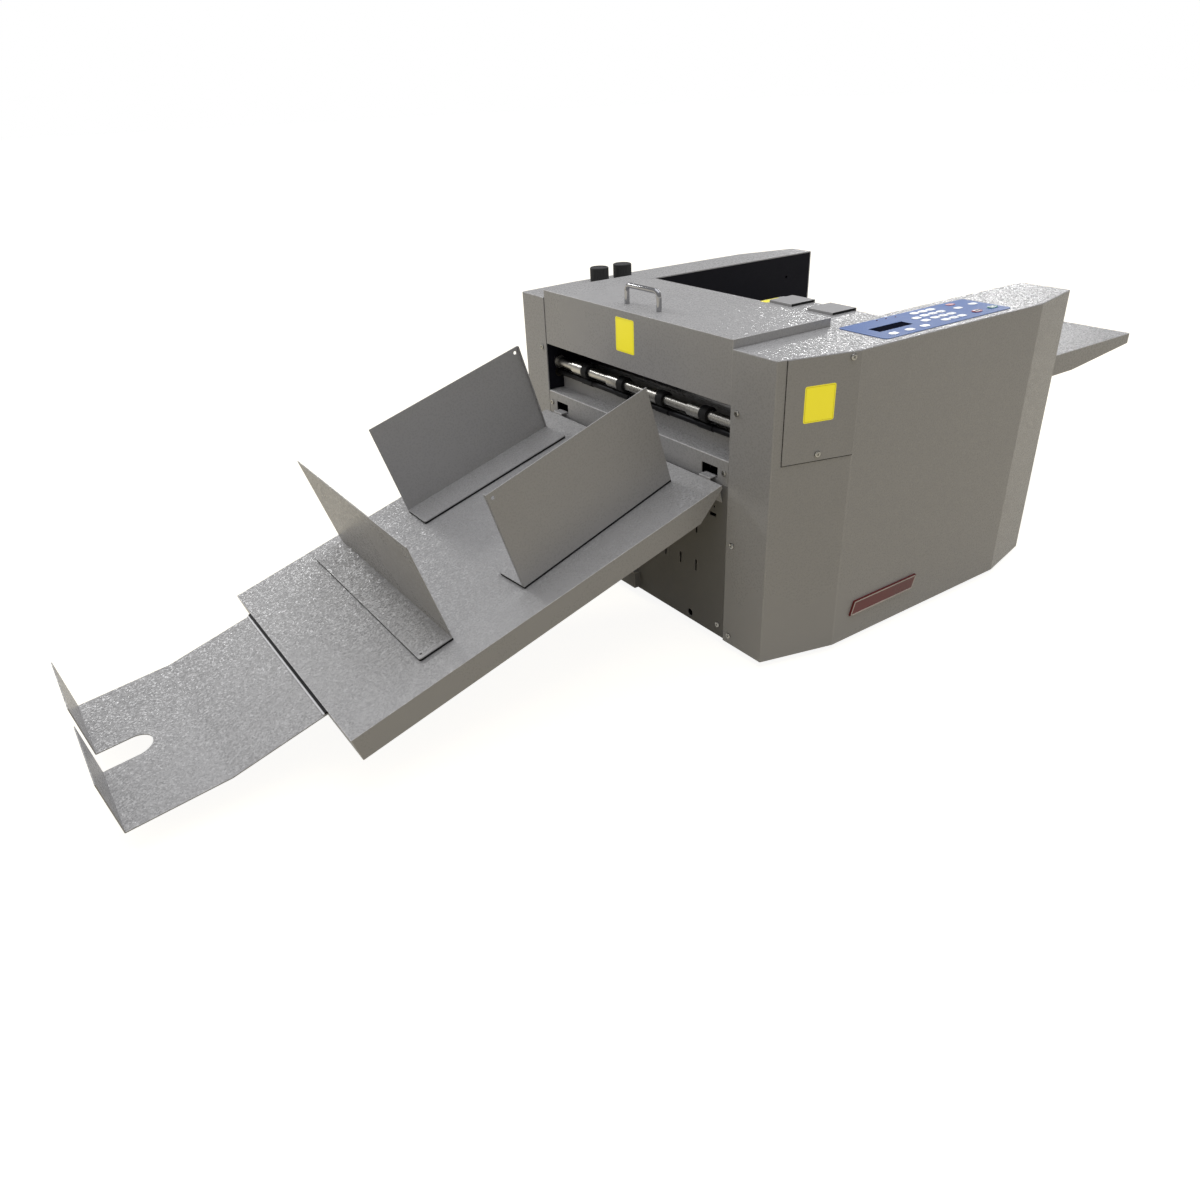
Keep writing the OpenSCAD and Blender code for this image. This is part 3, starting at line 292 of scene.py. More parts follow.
def tree_of(material):
    material.use_nodes = True
    tree = material.node_tree
    tree.nodes.clear()
    shader = tree.nodes.new("ShaderNodeBsdfPrincipled")
    out = tree.nodes.new("ShaderNodeOutputMaterial")
    tree.links.new(shader.outputs[0], out.inputs[0])
    return tree, shader


def add(tree, kind, values=(), **props):
    """Adds a node; values sets its inputs by name or number, linking those that are sockets."""
    n = tree.nodes.new(kind)
    for k, v in props.items():
        setattr(n, k, v)
    for k, v in dict(values).items():
        if isinstance(v, bpy.types.NodeSocket):
            tree.links.new(v, n.inputs[k])
        else:
            n.inputs[k].default_value = v
    return n


def ramp(tree, source, *stops):
    """Colour ramp of grey stops, as pairs of place and value."""
    n = add(tree, "ShaderNodeValToRGB", {0: source})
    bar = n.color_ramp
    while len(bar.elements) < len(stops):
        bar.elements.new(0.5)
    for e, (place, value) in zip(bar.elements, stops):
        e.position = place
        e.color = (value, value, value, 1)
    return n.outputs[0]


def mix(tree, factor, a, b):
    """Colour between a and b."""
    return add(tree, "ShaderNodeMix", {0: factor, 6: a, 7: b}, data_type='RGBA').outputs[2]


def math_node(tree, operation, a, b=0.5, clamp=False):
    n = add(tree, "ShaderNodeMath", {0: a, 1: b}, operation=operation)
    n.use_clamp = clamp
    return n.outputs[0]


def group(name, inputs, outputs, build):
    """A node group with named sockets, built once."""
    tree = bpy.data.node_groups.get(name)
    if tree:
        return tree
    tree = bpy.data.node_groups.new(name, "ShaderNodeTree")
    for n, v in inputs:
        tree.interface.new_socket(name=n, in_out='INPUT', socket_type='NodeSocketFloat').default_value = v
    for n in outputs:
        tree.interface.new_socket(name=n, in_out='OUTPUT',
                                  socket_type='NodeSocketVector' if n == "Tilt" else 'NodeSocketFloat')
    source = tree.nodes.new("NodeGroupInput")
    sink = tree.nodes.new("NodeGroupOutput")
    for n, socket in build(tree, source.outputs).items():
        tree.links.new(socket, sink.inputs[n])
    return tree


def use(tree, grouped, **values):
    return add(tree, "ShaderNodeGroup", {k.replace("_", " "): v for k, v in values.items()},
               node_tree=grouped).outputs


def grain_group():
    """Orange peel of sprayed powder: rounded beads with finer noise between them."""
    def build(t, i):
        where = add(t, "ShaderNodeTexCoord").outputs["Object"]
        beads = add(t, "ShaderNodeTexVoronoi", {"Vector": where, "Scale": i["Scale"]}, feature='SMOOTH_F1')
        finer = math_node(t, 'MULTIPLY', i["Scale"], 1.7)
        fine = add(t, "ShaderNodeTexNoise", {"Vector": where, "Scale": finer, "Detail": 3.0, "Roughness": 0.65})
        height = math_node(t, 'SUBTRACT', fine.outputs[0], beads.outputs["Distance"])
        fleck = ramp(t, fine.outputs[0], (0.5, 0.0), (0.72, 1.0))
        cells = add(t, "ShaderNodeTexVoronoi", {"Vector": where, "Scale": i["Fleck scale"]})
        chance = add(t, "ShaderNodeSeparateColor", {0: cells.outputs["Color"]}).outputs[0]
        lean = add(t, "ShaderNodeVectorMath", {0: cells.outputs["Color"], 1: (0.5, 0.5, 0.5)},
                   operation='SUBTRACT')
        return {"Height": height, "Fleck": fleck, "Glint": ramp(t, chance, (0.35, 0.0), (0.75, 1.0)),
                "Tilt": lean.outputs[0]}
    return group("powder_grain", [("Scale", 900), ("Fleck scale", 420)], ["Height", "Fleck", "Glint", "Tilt"],
                 build)


def wear_group():
    """Rubbed folds and cut edges, whose mask also carries a painted highlight, and broad handling marks."""
    def build(t, i):
        where = add(t, "ShaderNodeTexCoord").outputs["Object"]
        edge = add(t, "ShaderNodeAttribute", attribute_name="edge").outputs["Fac"]
        patch = add(t, "ShaderNodeTexNoise", {"Vector": where, "Scale": i["Scale"], "Detail": 5.0,
                                              "Roughness": 0.7})
        rub_and_highlight = math_node(t, 'MULTIPLY', edge, ramp(t, patch.outputs[0], (0.35, 0.45), (0.6, 1.0)))
        broad = add(t, "ShaderNodeTexNoise", {"Vector": where, "Scale": 4.0, "Detail": 3.0, "Roughness": 0.55})
        return {"Edge": math_node(t, 'MULTIPLY', rub_and_highlight, i["Amount"], True),
                "Broad": ramp(t, broad.outputs[0], (0.35, 0.0), (0.68, 1.0))}
    return group("edge_wear_and_painted_highlight", [("Scale", 60), ("Amount", 1)], ["Edge", "Broad"], build)


def lines_group():
    """Fine parallel tool marks across X, Y or Z."""
    def build(t, i):
        where = add(t, "ShaderNodeTexCoord").outputs["Object"]
        vec = add(t, "ShaderNodeCombineXYZ", {0: i["Across X"], 1: i["Across Y"], 2: i["Across Z"]}).outputs[0]
        stretched = add(t, "ShaderNodeVectorMath", {0: where, 1: vec}, operation='MULTIPLY').outputs[0]
        marks = add(t, "ShaderNodeTexNoise", {"Vector": stretched, "Scale": 1.0, "Detail": 4.0,
                                              "Roughness": 0.6})
        return {"Height": marks.outputs[0], "Mask": ramp(t, marks.outputs[0], (0.35, 0.0), (0.65, 1.0))}
    return group("tool_marks", [("Across X", 1500), ("Across Y", 40), ("Across Z", 40)],
                 ["Height", "Mask"], build)


def scaled(colour, k):
    return (min(1, colour[0] * k), min(1, colour[1] * k), min(1, colour[2] * k), 1)


def begin(name):
    """A new material's name, tree and shader; without a tree where the material is there already."""
    m = bpy.data.materials.get(name)
    if m:
        return m, None, None
    m = bpy.data.materials.new(name)
    return (m, *tree_of(m))


def link_surface(tree, shader, base, rough, depth, strength, height, **normal):
    """Links the base colour, the roughness, and the bump of a relief depth millimetres deep."""
    tree.links.new(base, shader.inputs["Base Color"])
    tree.links.new(rough, shader.inputs["Roughness"])
    bump = add(tree, "ShaderNodeBump",
               {"Strength": strength, "Distance": depth * MM, "Height": height, **normal})
    tree.links.new(bump.outputs[0], shader.inputs["Normal"])


def powder_paint(name, colour, rough=0.46, scale=850, bump=0.5, flecks=0.04, wear_and_highlight=0.9, gloss=0.5,
                 shine=0.2, tilt=0.42):
    """Textured powder coat with beads, flecks and edges lightened as wear and as a painted highlight."""
    m, t, shader = begin(name)
    if not t:
        return m
    grain = use(t, grain_group(), Scale=scale, Fleck_scale=scale / 1.9)
    worn_and_lit = use(t, wear_group(), Scale=70, Amount=wear_and_highlight)
    base = mix(t, worn_and_lit["Broad"], scaled(colour, 0.965), scaled(colour, 1.035))
    base = mix(t, math_node(t, 'MULTIPLY', grain["Fleck"], flecks), base, scaled(colour, 1.7))
    # Folds and cut edges lightened: partly wear, partly a painted highlight along them
    base = mix(t, worn_and_lit["Edge"], base, scaled(colour, 1.7))
    r = add(t, "ShaderNodeMapRange", {0: worn_and_lit["Broad"], 3: rough - 0.03, 4: rough + 0.03}).outputs[0]
    r = math_node(t, 'SUBTRACT', r, math_node(t, 'MULTIPLY', grain["Glint"], shine))
    face = add(t, "ShaderNodeNewGeometry").outputs["Normal"]
    level = math_node(t, 'MULTIPLY', add(t, "ShaderNodeSeparateXYZ", {0: face}).outputs[2], tilt, True)
    lean = add(t, "ShaderNodeVectorMath", {0: grain["Tilt"], 1: level, 2: face}, operation='MULTIPLY_ADD')
    lean = add(t, "ShaderNodeVectorMath", {0: lean.outputs[0]}, operation='NORMALIZE')
    link_surface(t, shader, base, r, 0.14, bump, grain["Height"], Normal=lean.outputs[0])
    shader.inputs["Specular IOR Level"].default_value = gloss
    return m


def metal(name, colour, rough, marks=(1500, 40, 40), bump=0.12, spread=0.10, wear_and_highlight=0.6):
    """Turned, ground or polished metal with its tool marks."""
    m, t, shader = begin(name)
    if not t:
        return m
    lines = use(t, lines_group(), Across_X=marks[0], Across_Y=marks[1], Across_Z=marks[2])
    worn_and_lit = use(t, wear_group(), Scale=90, Amount=wear_and_highlight)
    base = mix(t, lines["Mask"], scaled(colour, 0.86), scaled(colour, 1.06))
    # Edges lightened: partly wear, partly a painted highlight
    base = mix(t, worn_and_lit["Edge"], base, scaled(colour, 1.3))
    total = math_node(t, 'MULTIPLY', math_node(t, 'ADD', lines["Mask"], worn_and_lit["Broad"]), 0.5)
    r = add(t, "ShaderNodeMapRange", {0: total, 3: max(0.02, rough - spread), 4: rough + spread}).outputs[0]
    link_surface(t, shader, base, r, 0.05, bump, lines["Height"])
    shader.inputs["Metallic"].default_value = 1.0
    return m


def moulded(name, colour, rough=0.5, scale=1500, bump=0.2, gloss=0.5, dust=0.06):
    """Moulded rubber or plastic: fine grain, a little dust, edges paler partly from wear and partly as a
    painted highlight.
    """
    m, t, shader = begin(name)
    if not t:
        return m
    grain = use(t, grain_group(), Scale=scale)
    worn_and_lit = use(t, wear_group(), Scale=120, Amount=0.5)
    base = mix(t, worn_and_lit["Broad"], scaled(colour, 0.9), scaled(colour, 1.12))
    base = mix(t, math_node(t, 'MULTIPLY', grain["Fleck"], dust), base, (0.35, 0.34, 0.33, 1))
    # Edges paler: partly wear, partly a painted highlight
    base = mix(t, worn_and_lit["Edge"], base, scaled(colour, 1.5))
    r = add(t, "ShaderNodeMapRange", {0: worn_and_lit["Broad"], 3: rough - 0.06, 4: rough + 0.08}).outputs[0]
    link_surface(t, shader, base, r, 0.06, bump, grain["Height"])
    shader.inputs["Specular IOR Level"].default_value = gloss
    return m


def seen_rays(tree, glossy):
    """Share of the camera's, glass's and some of the glossy rays, which find the place white."""
    path = add(tree, "ShaderNodeLightPath").outputs
    gloss = math_node(tree, 'MULTIPLY', path["Is Glossy Ray"], glossy)
    return math_node(tree, 'ADD', path["Is Camera Ray"],
                     math_node(tree, 'ADD', gloss, path["Is Transmission Ray"]), True)


# What a user may change

def colour_prop(name, text, value):
    return bpy.props.FloatVectorProperty(name=name, description=text, default=value, size=3, min=0, max=1,
                                         subtype='COLOR')


def length_prop(name, text, value, low, high):
    return bpy.props.FloatProperty(name=name, description=text, default=value, min=low, max=high,
                                   subtype='DISTANCE', unit='LENGTH')


class CreaserColours(bpy.types.PropertyGroup):
    paint: colour_prop("Paint", "Powder coat of the covers, the tray and the tables", (0.42, 0.415, 0.41))
    frames: colour_prop("Frames", "Black paint of the side frames", (0.008, 0.008, 0.013))
    film: colour_prop("Key film", "Blue of the printed key film", (0.13, 0.215, 0.47))
    pads: colour_prop("Pads", "Pale print of the keys", (0.90, 0.93, 0.95))
    sticker: colour_prop("Stickers", "Yellow of the blank stickers", (0.95, 0.82, 0.03))
    badge: colour_prop("Badge", "Dark red field of the blank badge", (0.16, 0.012, 0.012))
    shaft: colour_prop("Shafts", "Turned steel of the outlet shaft", (0.46, 0.45, 0.42))
    chrome: colour_prop("Chrome", "Plating of the handle", (0.40, 0.40, 0.41))


class CreaserSizes(bpy.types.PropertyGroup):
    fold: length_prop("Fold radius", "Outer radius of the covers' folds", 0.0017, 0, 0.002)
    thin_fold: length_prop("Thin fold radius", "Outer radius of the thinner sheets' folds", 0.0014, 0, 0.0015)
    cut: length_prop("Cut edge", "Rounding of the sheets' cut edges", 0.0004, 0, 0.0006)
    sticker: length_prop("Sticker", "Thickness of the blank stickers", 0.0002, 0.0001, 0.001)
    badge: length_prop("Badge", "Thickness of the blank badge", 0.004, 0.001, 0.006)


class CreaserStage(bpy.types.PropertyGroup):
    overhead: bpy.props.FloatProperty(name="Overhead light", description="Power of the soft light above",
                                      default=42, min=0, max=1000, unit='POWER')
    room: bpy.props.FloatProperty(name="Room light", description="Strength of the light from all round",
                                  default=0.40, min=0, max=2)
    gleam: bpy.props.FloatProperty(name="Gleam", description="Share of the far lamps that shine on the tops",
                                   default=1, min=0, max=5)
    floor: colour_prop("Floor", "Colour of the floor", (0.46, 0.392, 0.24))


def colours():
    return bpy.context.scene.creaser_colours


def sizes():
    return bpy.context.scene.creaser_sizes


# Finishes

def paint():
    return powder_paint("grey_powder_coat", colours().paint)


# A smoother grey; shade scales its colour, and on the front panel it darkens it as painted shade
def plain_paint(name="smooth_grey_paint", shade=0.96):
    return powder_paint(name, scaled(colours().paint, shade)[:3], rough=0.6, bump=0.3, gloss=0.12, shine=0.05,
                        tilt=0.1)


def black_paint():
    return powder_paint("black_frame_paint", colours().frames, rough=0.6, scale=1100, bump=0.3, flecks=0.05,
                        wear_and_highlight=0.5, gloss=0.15, shine=0.1)


def shaft_steel():
    return metal("turned_steel", colours().shaft, 0.3, marks=(700, 60, 60), bump=0.04, spread=0.05)


def dark_steel():
    return metal("blackened_steel", (0.09, 0.09, 0.095), 0.38, bump=0.2)


def ground_steel():
    return metal("ground_steel", (0.55, 0.55, 0.55), 0.32, marks=(60, 900, 900))


def nickel():
    return metal("nickel_plate", (0.40, 0.39, 0.36), 0.22, marks=(500, 500, 500), bump=0.05, spread=0.06)


def rubber():
    return moulded("black_rubber", (0.012, 0.012, 0.013), rough=0.62, gloss=0.2)


def black_plastic():
    return moulded("black_plastic", (0.008, 0.008, 0.009), rough=0.3, gloss=0.5)


def galvanised():
    return metal("plated_sheet", (0.50, 0.50, 0.49), 0.40, marks=(40, 300, 300), bump=0.1)


# Pieces and stage

class Making(bpy.types.Operator):
    """Shared settings of the operators that make pieces"""
    bl_options = {'REGISTER'}

    def execute(self, context):
        self.make()
        return {'FINISHED'}

    def thin_sheets(self, *nodes, material=None):
        """Dresses nodes of thin painted sheet."""
        s = sizes()
        for node in nodes:
            dress(node, node + "_sheet", material or paint(), s.thin_fold / MM, s.cut / MM)


class CREASER_OT_covers(Making):
    """Left and right covers, and the screwed plate on the right one's slanted corner"""
    bl_idname = "creaser.covers"
    bl_label = "Side covers"

    def make(self):
        s = sizes()
        for node in ("left_cover", "right_cover"):
            dress(node, node + "_sheet", paint(), s.fold / MM, s.cut / MM, 0.2)
        dress("access_cover", "access_plate", paint(), 0.3, 0.3)
        self.seam_shadow()

    def seam_shadow(self):
        """Dark strip round the access plate: painted shadow of the gap round it."""
        low, high = 334, COVER_TOP - 1
        start, end = 16, SLANT_RUN.length - 1.5
        seam = 0.8
        size = (end - start + 2 * seam, high - low + 2 * seam)
        middle = on_slant((start + end) / 2, 0, (low + high) / 2 - seam)
        bm = bmesh.new()
        plate(bm, size, 0.5, 0.4, axes(middle, SLANT_ALONG, (0, 0, 1)))
        piece("access_seam_shadow", bm, rubber(), "machine", smooth=False)


class CREASER_OT_hood(Making):
    """Lid over the rollers, with its chromed handle and hinges"""
    bl_idname = "creaser.hood"
    bl_label = "Hood and handle"

    def make(self):
        self.thin_sheets("hood")
        dress("hood_hinges", "hinge_pins", dark_steel(), 0.3, 0.2)
        self.handle()

    def handle(self):
        """Bar bent twice: up, across and down."""
        lo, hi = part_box("hood_handle")
        r = 4.5 * MM
        bend = 10 * MM
        leg = hi.z - r - bend
        bm = bmesh.new()
        start = Vector((lo.x + r, (lo.y + hi.y) / 2, lo.z))
        ring = bmesh.ops.create_circle(bm, cap_ends=False, segments=32, radius=r,
                                       matrix=Matrix.Translation(start))["verts"]

        def turn(ring, centre_x):
            made = bmesh.ops.spin(bm, geom=edges_between(ring), cent=(centre_x, start.y, leg), axis=(0, 1, 0),
                                  angle=math.pi / 2, steps=10, use_merge=False, use_duplicate=False)
            return verts_in(made["geom_last"])

        ring = turn(drawn_out(bm, edges_between(ring), (0, 0, leg - start.z)), start.x + bend)
        ring = drawn_out(bm, edges_between(ring), (hi.x - lo.x - 2 * r - 2 * bend, 0, 0))
        ring = turn(ring, hi.x - r - bend)
        drawn_out(bm, edges_between(ring), (0, 0, start.z - leg))
        bmesh.ops.holes_fill(bm, edges=[e for e in bm.edges if e.is_boundary], sides=40)
        bmesh.ops.recalc_face_normals(bm, faces=bm.faces)
        chrome = metal("chrome_plate", colours().chrome, 0.07, marks=(30, 30, 30), bump=0.02, spread=0.03)
        piece("hood_handle_bar", bm, chrome, "hood", ["hood_handle"])


class CREASER_OT_deck(Making):
    """Fixed deck behind the hood, with its two sheet plates"""
    bl_idname = "creaser.deck"
    bl_label = "Rear deck"

    def make(self):
        self.thin_sheets("rear_deck")
        low = at(0, 0, COVER_TOP + 2.9).z
        back = at(0, 311.6, 0).y
        for node in ("left_deck_plate", "right_deck_plate"):
            o = dress(node, node + "_sheet", [plain_paint(), rubber()], 0.5, 0.2)
            for p in o.data.polygons:
                if p.center.z < low and p.center.y < back and p.normal.x > 0.5:
                    p.material_index = 1


class CREASER_OT_front(Making):
    """Front panel with its vents, and the ledge under the paper outlet"""
    bl_idname = "creaser.front"
    bl_label = "Front panel and ledge"

    def make(self):
        # The front panel's grey is darkened to 0.6: painted shade of the tray that hangs over it
        self.thin_sheets("front_panel", material=plain_paint("painted_shade_grey_paint", 0.6))
        self.thin_sheets("delivery_ledge")


class CREASER_OT_rollers(Making):
    """Outlet shafts with their sleeves and rubber rings, and the register rollers behind them"""
    bl_idname = "creaser.rollers"
    bl_label = "Rollers"

    def make(self):
        dress("delivery_shaft", "outlet_shaft", shaft_steel(), 0.8, 0.6)
        dress("delivery_rings", "outlet_rings", rubber(), 1.2, 1.2)
        black = metal("black_oxide", (0.02, 0.02, 0.022), 0.5, bump=0.2, wear_and_highlight=0.2)
        dress("lower_delivery_shaft", "lower_outlet_shaft", black, 0.6, 0.4)
        dress("register_shaft", "register_roller", dark_steel(), 0.6, 0.4)
        dress("lower_register_shaft", "lower_register_roller", dark_steel(), 0.6, 0.4)


class CREASER_OT_creasing(Making):
    """Anvil, beam, blade and eccentric shaft of the creasing unit"""
    bl_idname = "creaser.creasing"
    bl_label = "Creasing unit"

    def make(self):
        dress("crease_anvil", "anvil_bar", ground_steel(), 0.5, 0.3)
        dress("crease_beam", "creasing_beam", dark_steel(), 0.8, 0.4)
        dress("crease_blade", "creasing_blade", shaft_steel(), 0.2, 0.2)
        dress("eccentric_shaft", "eccentric_shaft_turned", shaft_steel(), 0.6, 0.4)
        dress("sheet_guides", "sheet_guide_plates", galvanised(), 0.6, 0.2)


class CREASER_OT_tray(Making):
    """Delivery tray, its extension, and the three magnet guides on it"""
    bl_idname = "creaser.tray"
    bl_label = "Delivery tray"

    def make(self):
        self.thin_sheets("delivery_tray", "tray_extension", "left_guide", "right_guide", "end_stop")
        dress("extension_rails", "extension_runners", galvanised(), 0.4, 0.2)
        for node in ("left_guide_magnet", "right_guide_magnet", "end_stop_magnet"):
            dress(node, node + "_sheet", rubber(), 0.3, 0.3)
        self.lip_shadow_strips()

    def lip_shadow_strips(self):
        """Black strip under the tray's lower lip, a painted shadow of the gap there, and a pale strip just
        above the extension, a painted highlight.
        """
        bm = bmesh.new()
        up = (0, -math.sin(TRAY_SLOPE), math.cos(TRAY_SLOPE))
        width, middle = 345, -7
        # Black strip: painted shadow in the gap under the lip
        plate(bm, (width, 3.0), 0, 6, axes(on_tray(middle, 661.4, -3.3), (1, 0, 0), up))
        shadow_faces = len(bm.faces)
        plate(bm, (width, 1.8), 0, 2.6, axes(on_tray(middle, 667.4, -3.9), (1, 0, 0), up))
        # Pale strip: painted highlight along the lip
        highlight_strip = moulded("painted_highlight_strip", (0.72, 0.72, 0.73), rough=0.4, bump=0.05)
        o = piece("tray_lip_painted_strips", bm, [rubber(), highlight_strip], BODY_OF["delivery_tray"], smooth=False)
        for p in o.data.polygons[shadow_faces:]:
            p.material_index = 1


class CREASER_OT_feed(Making):
    """Feed table with its lift, the sheet guides on it and the belts above it"""
    bl_idname = "creaser.feed"
    bl_label = "Feed table"

    def make(self):
        self.thin_sheets("feed_table", "left_feed_guide", "right_feed_guide")
        dress("table_blocks", "lift_blocks", dark_steel(), 0.8, 0.3)
        dress("guide_rods", "lift_rods", ground_steel(), 0.8, 0.5)
        dress("lift_shaft", "lift_shaft_turned", shaft_steel(), 0.5, 0.3)
        dress("feed_drive_shaft", "feed_drive_drums", shaft_steel(), 0.6, 0.4)
        dress("feed_idler_shaft", "feed_idler_drums", shaft_steel(), 0.6, 0.4)
        belt = moulded("belt_rubber", (0.05, 0.052, 0.055), rough=0.7, scale=2200, bump=0.4)
        dress("feed_belts", "feed_belt_bands", belt, 0.3, 0.3)
        pad = moulded("cork_rubber", (0.10, 0.045, 0.03), rough=0.8, scale=1300, bump=0.5)
        dress("separator_pad", "separator_pads", pad, 0.6, 0.5)


class CREASER_OT_inside(Making):
    """Frames, base, feet and drives behind the covers"""
    bl_idname = "creaser.inside"
    bl_label = "Frames and drives"

    def make(self):
        dress("left_frame", "left_frame_plate", black_paint(), 0.8, 0.4)
        dress("right_frame", "right_frame_plate", black_paint(), 0.8, 0.4)
        dress("base_plate", "base_plate_sheet", black_paint(), 0.8, 0.4)
        dress("rear_panel", "rear_panel_sheet", paint(), 0.6, 0.3)
        dress("tie_rods", "tie_rods_turned", ground_steel(), 0.6, 0.4)
        bronze = metal("oiled_bronze", (0.07, 0.06, 0.045), 0.45, bump=0.1)
        dress("shaft_bushes", "bronze_bushes", bronze, 0.4, 0.3)
        motor = powder_paint("motor_black", (0.02, 0.02, 0.022), rough=0.38, scale=1400, bump=0.15, shine=0.08)
        dress("drive_motors", "motor_cases", motor, 1.5, 0.4)
        coat("drive_belt", rubber())
        board = moulded("green_board", (0.02, 0.12, 0.05), rough=0.35, scale=600, bump=0.1)
        coat("control_board", board)
        case = metal("folded_aluminium", (0.60, 0.60, 0.61), 0.4, marks=(40, 700, 40))
        dress("power_supply", "supply_case_sheet", case, 1.0, 0.5)
        self.feet()

    def feet(self):
        """Round feet with a step and a hollow rim, at the corners of the base."""
        lo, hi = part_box("rubber_feet")
        r = 19
        height = (hi.z - lo.z) / MM
        bm = bmesh.new()
        for x in (lo.x + r * MM, hi.x - r * MM):
            for y in (lo.y + r * MM, hi.y - r * MM):
                turned(bm, [(0, 0), (0, 4), (2.5, 4.6), (2.5, 7), (0, 8), (0, r - 3.5), (0.4, r - 2.2),
                            (1.6, r - 1.2), (height - 1.2, r), (height, r - 1), (height, 0)],
                       Vector((x, y, lo.z)), (0, 0, 1), 40)
        piece("rubber_feet_moulded", bm, rubber(), "machine", ["rubber_feet"])


class CREASER_OT_knobs(Making):
    """Two ribbed knobs on the left cover"""
    bl_idname = "creaser.knobs"
    bl_label = "Adjusting knobs"

    def make(self):
        for node in ("front_knob", "rear_knob"):
            self.knob(node)

    def knob(self, node):
        """Grooved body between a narrower foot and a flat top, on its spindle."""
        lo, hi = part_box(node)
        mid = middle_of(lo, hi)
        mid.z = at(0, 0, COVER_TOP + 0.3).z
        r, ribs = 18, 36
        foot, rim = 2, 1.2
        body = (hi.z - mid.z) / MM - foot - rim
        bm = bmesh.new()
        bmesh.ops.create_cone(bm, cap_ends=True, cap_tris=False, segments=ribs * 3, radius1=r * MM,
                              radius2=r * MM, depth=body * MM,
                              matrix=Matrix.Translation(mid + Vector((0, 0, body / 2 + foot)) * MM))
        centre = {f: f.calc_center_median() - mid for f in bm.faces}
        walls = [f for f in bm.faces if abs(f.normal.z) < 0.5]
        walls.sort(key=lambda f: math.atan2(centre[f].y, centre[f].x))
        top = max(centre, key=lambda f: centre[f].z)
        low = min(centre, key=lambda f: centre[f].z)
        bmesh.ops.inset_individual(bm, faces=walls[::3], thickness=0.25 * MM, depth=-0.9 * MM,
                                   use_even_offset=True)

        def stepped(end, rise, narrower):
            face = face_in(bmesh.ops.extrude_face_region(bm, geom=[end])["geom"])
            bmesh.ops.translate(bm, verts=face.verts, vec=(0, 0, rise * MM))
            k = (r - narrower) / r
            bmesh.ops.scale(bm, verts=face.verts, vec=(k, k, 1), space=Matrix.Translation((-mid.x, -mid.y, 0)))
            return face

        face = stepped(top, rim, 1.3)
        inset(bm, face, 3.2)
        inset(bm, face, 0.4, -0.7)
        stepped(low, -foot, 0.8)
        bmesh.ops.recalc_face_normals(bm, faces=bm.faces)
        turned(bm, [(-39.9, 0), (-39.9, 3.4), (-39.3, 4), (-0.1, 4), (-0.1, 0)], mid, (0, 0, 1), 24)
        piece(node + "_ribbed", bm, black_plastic(), BODY_OF[node], [node])


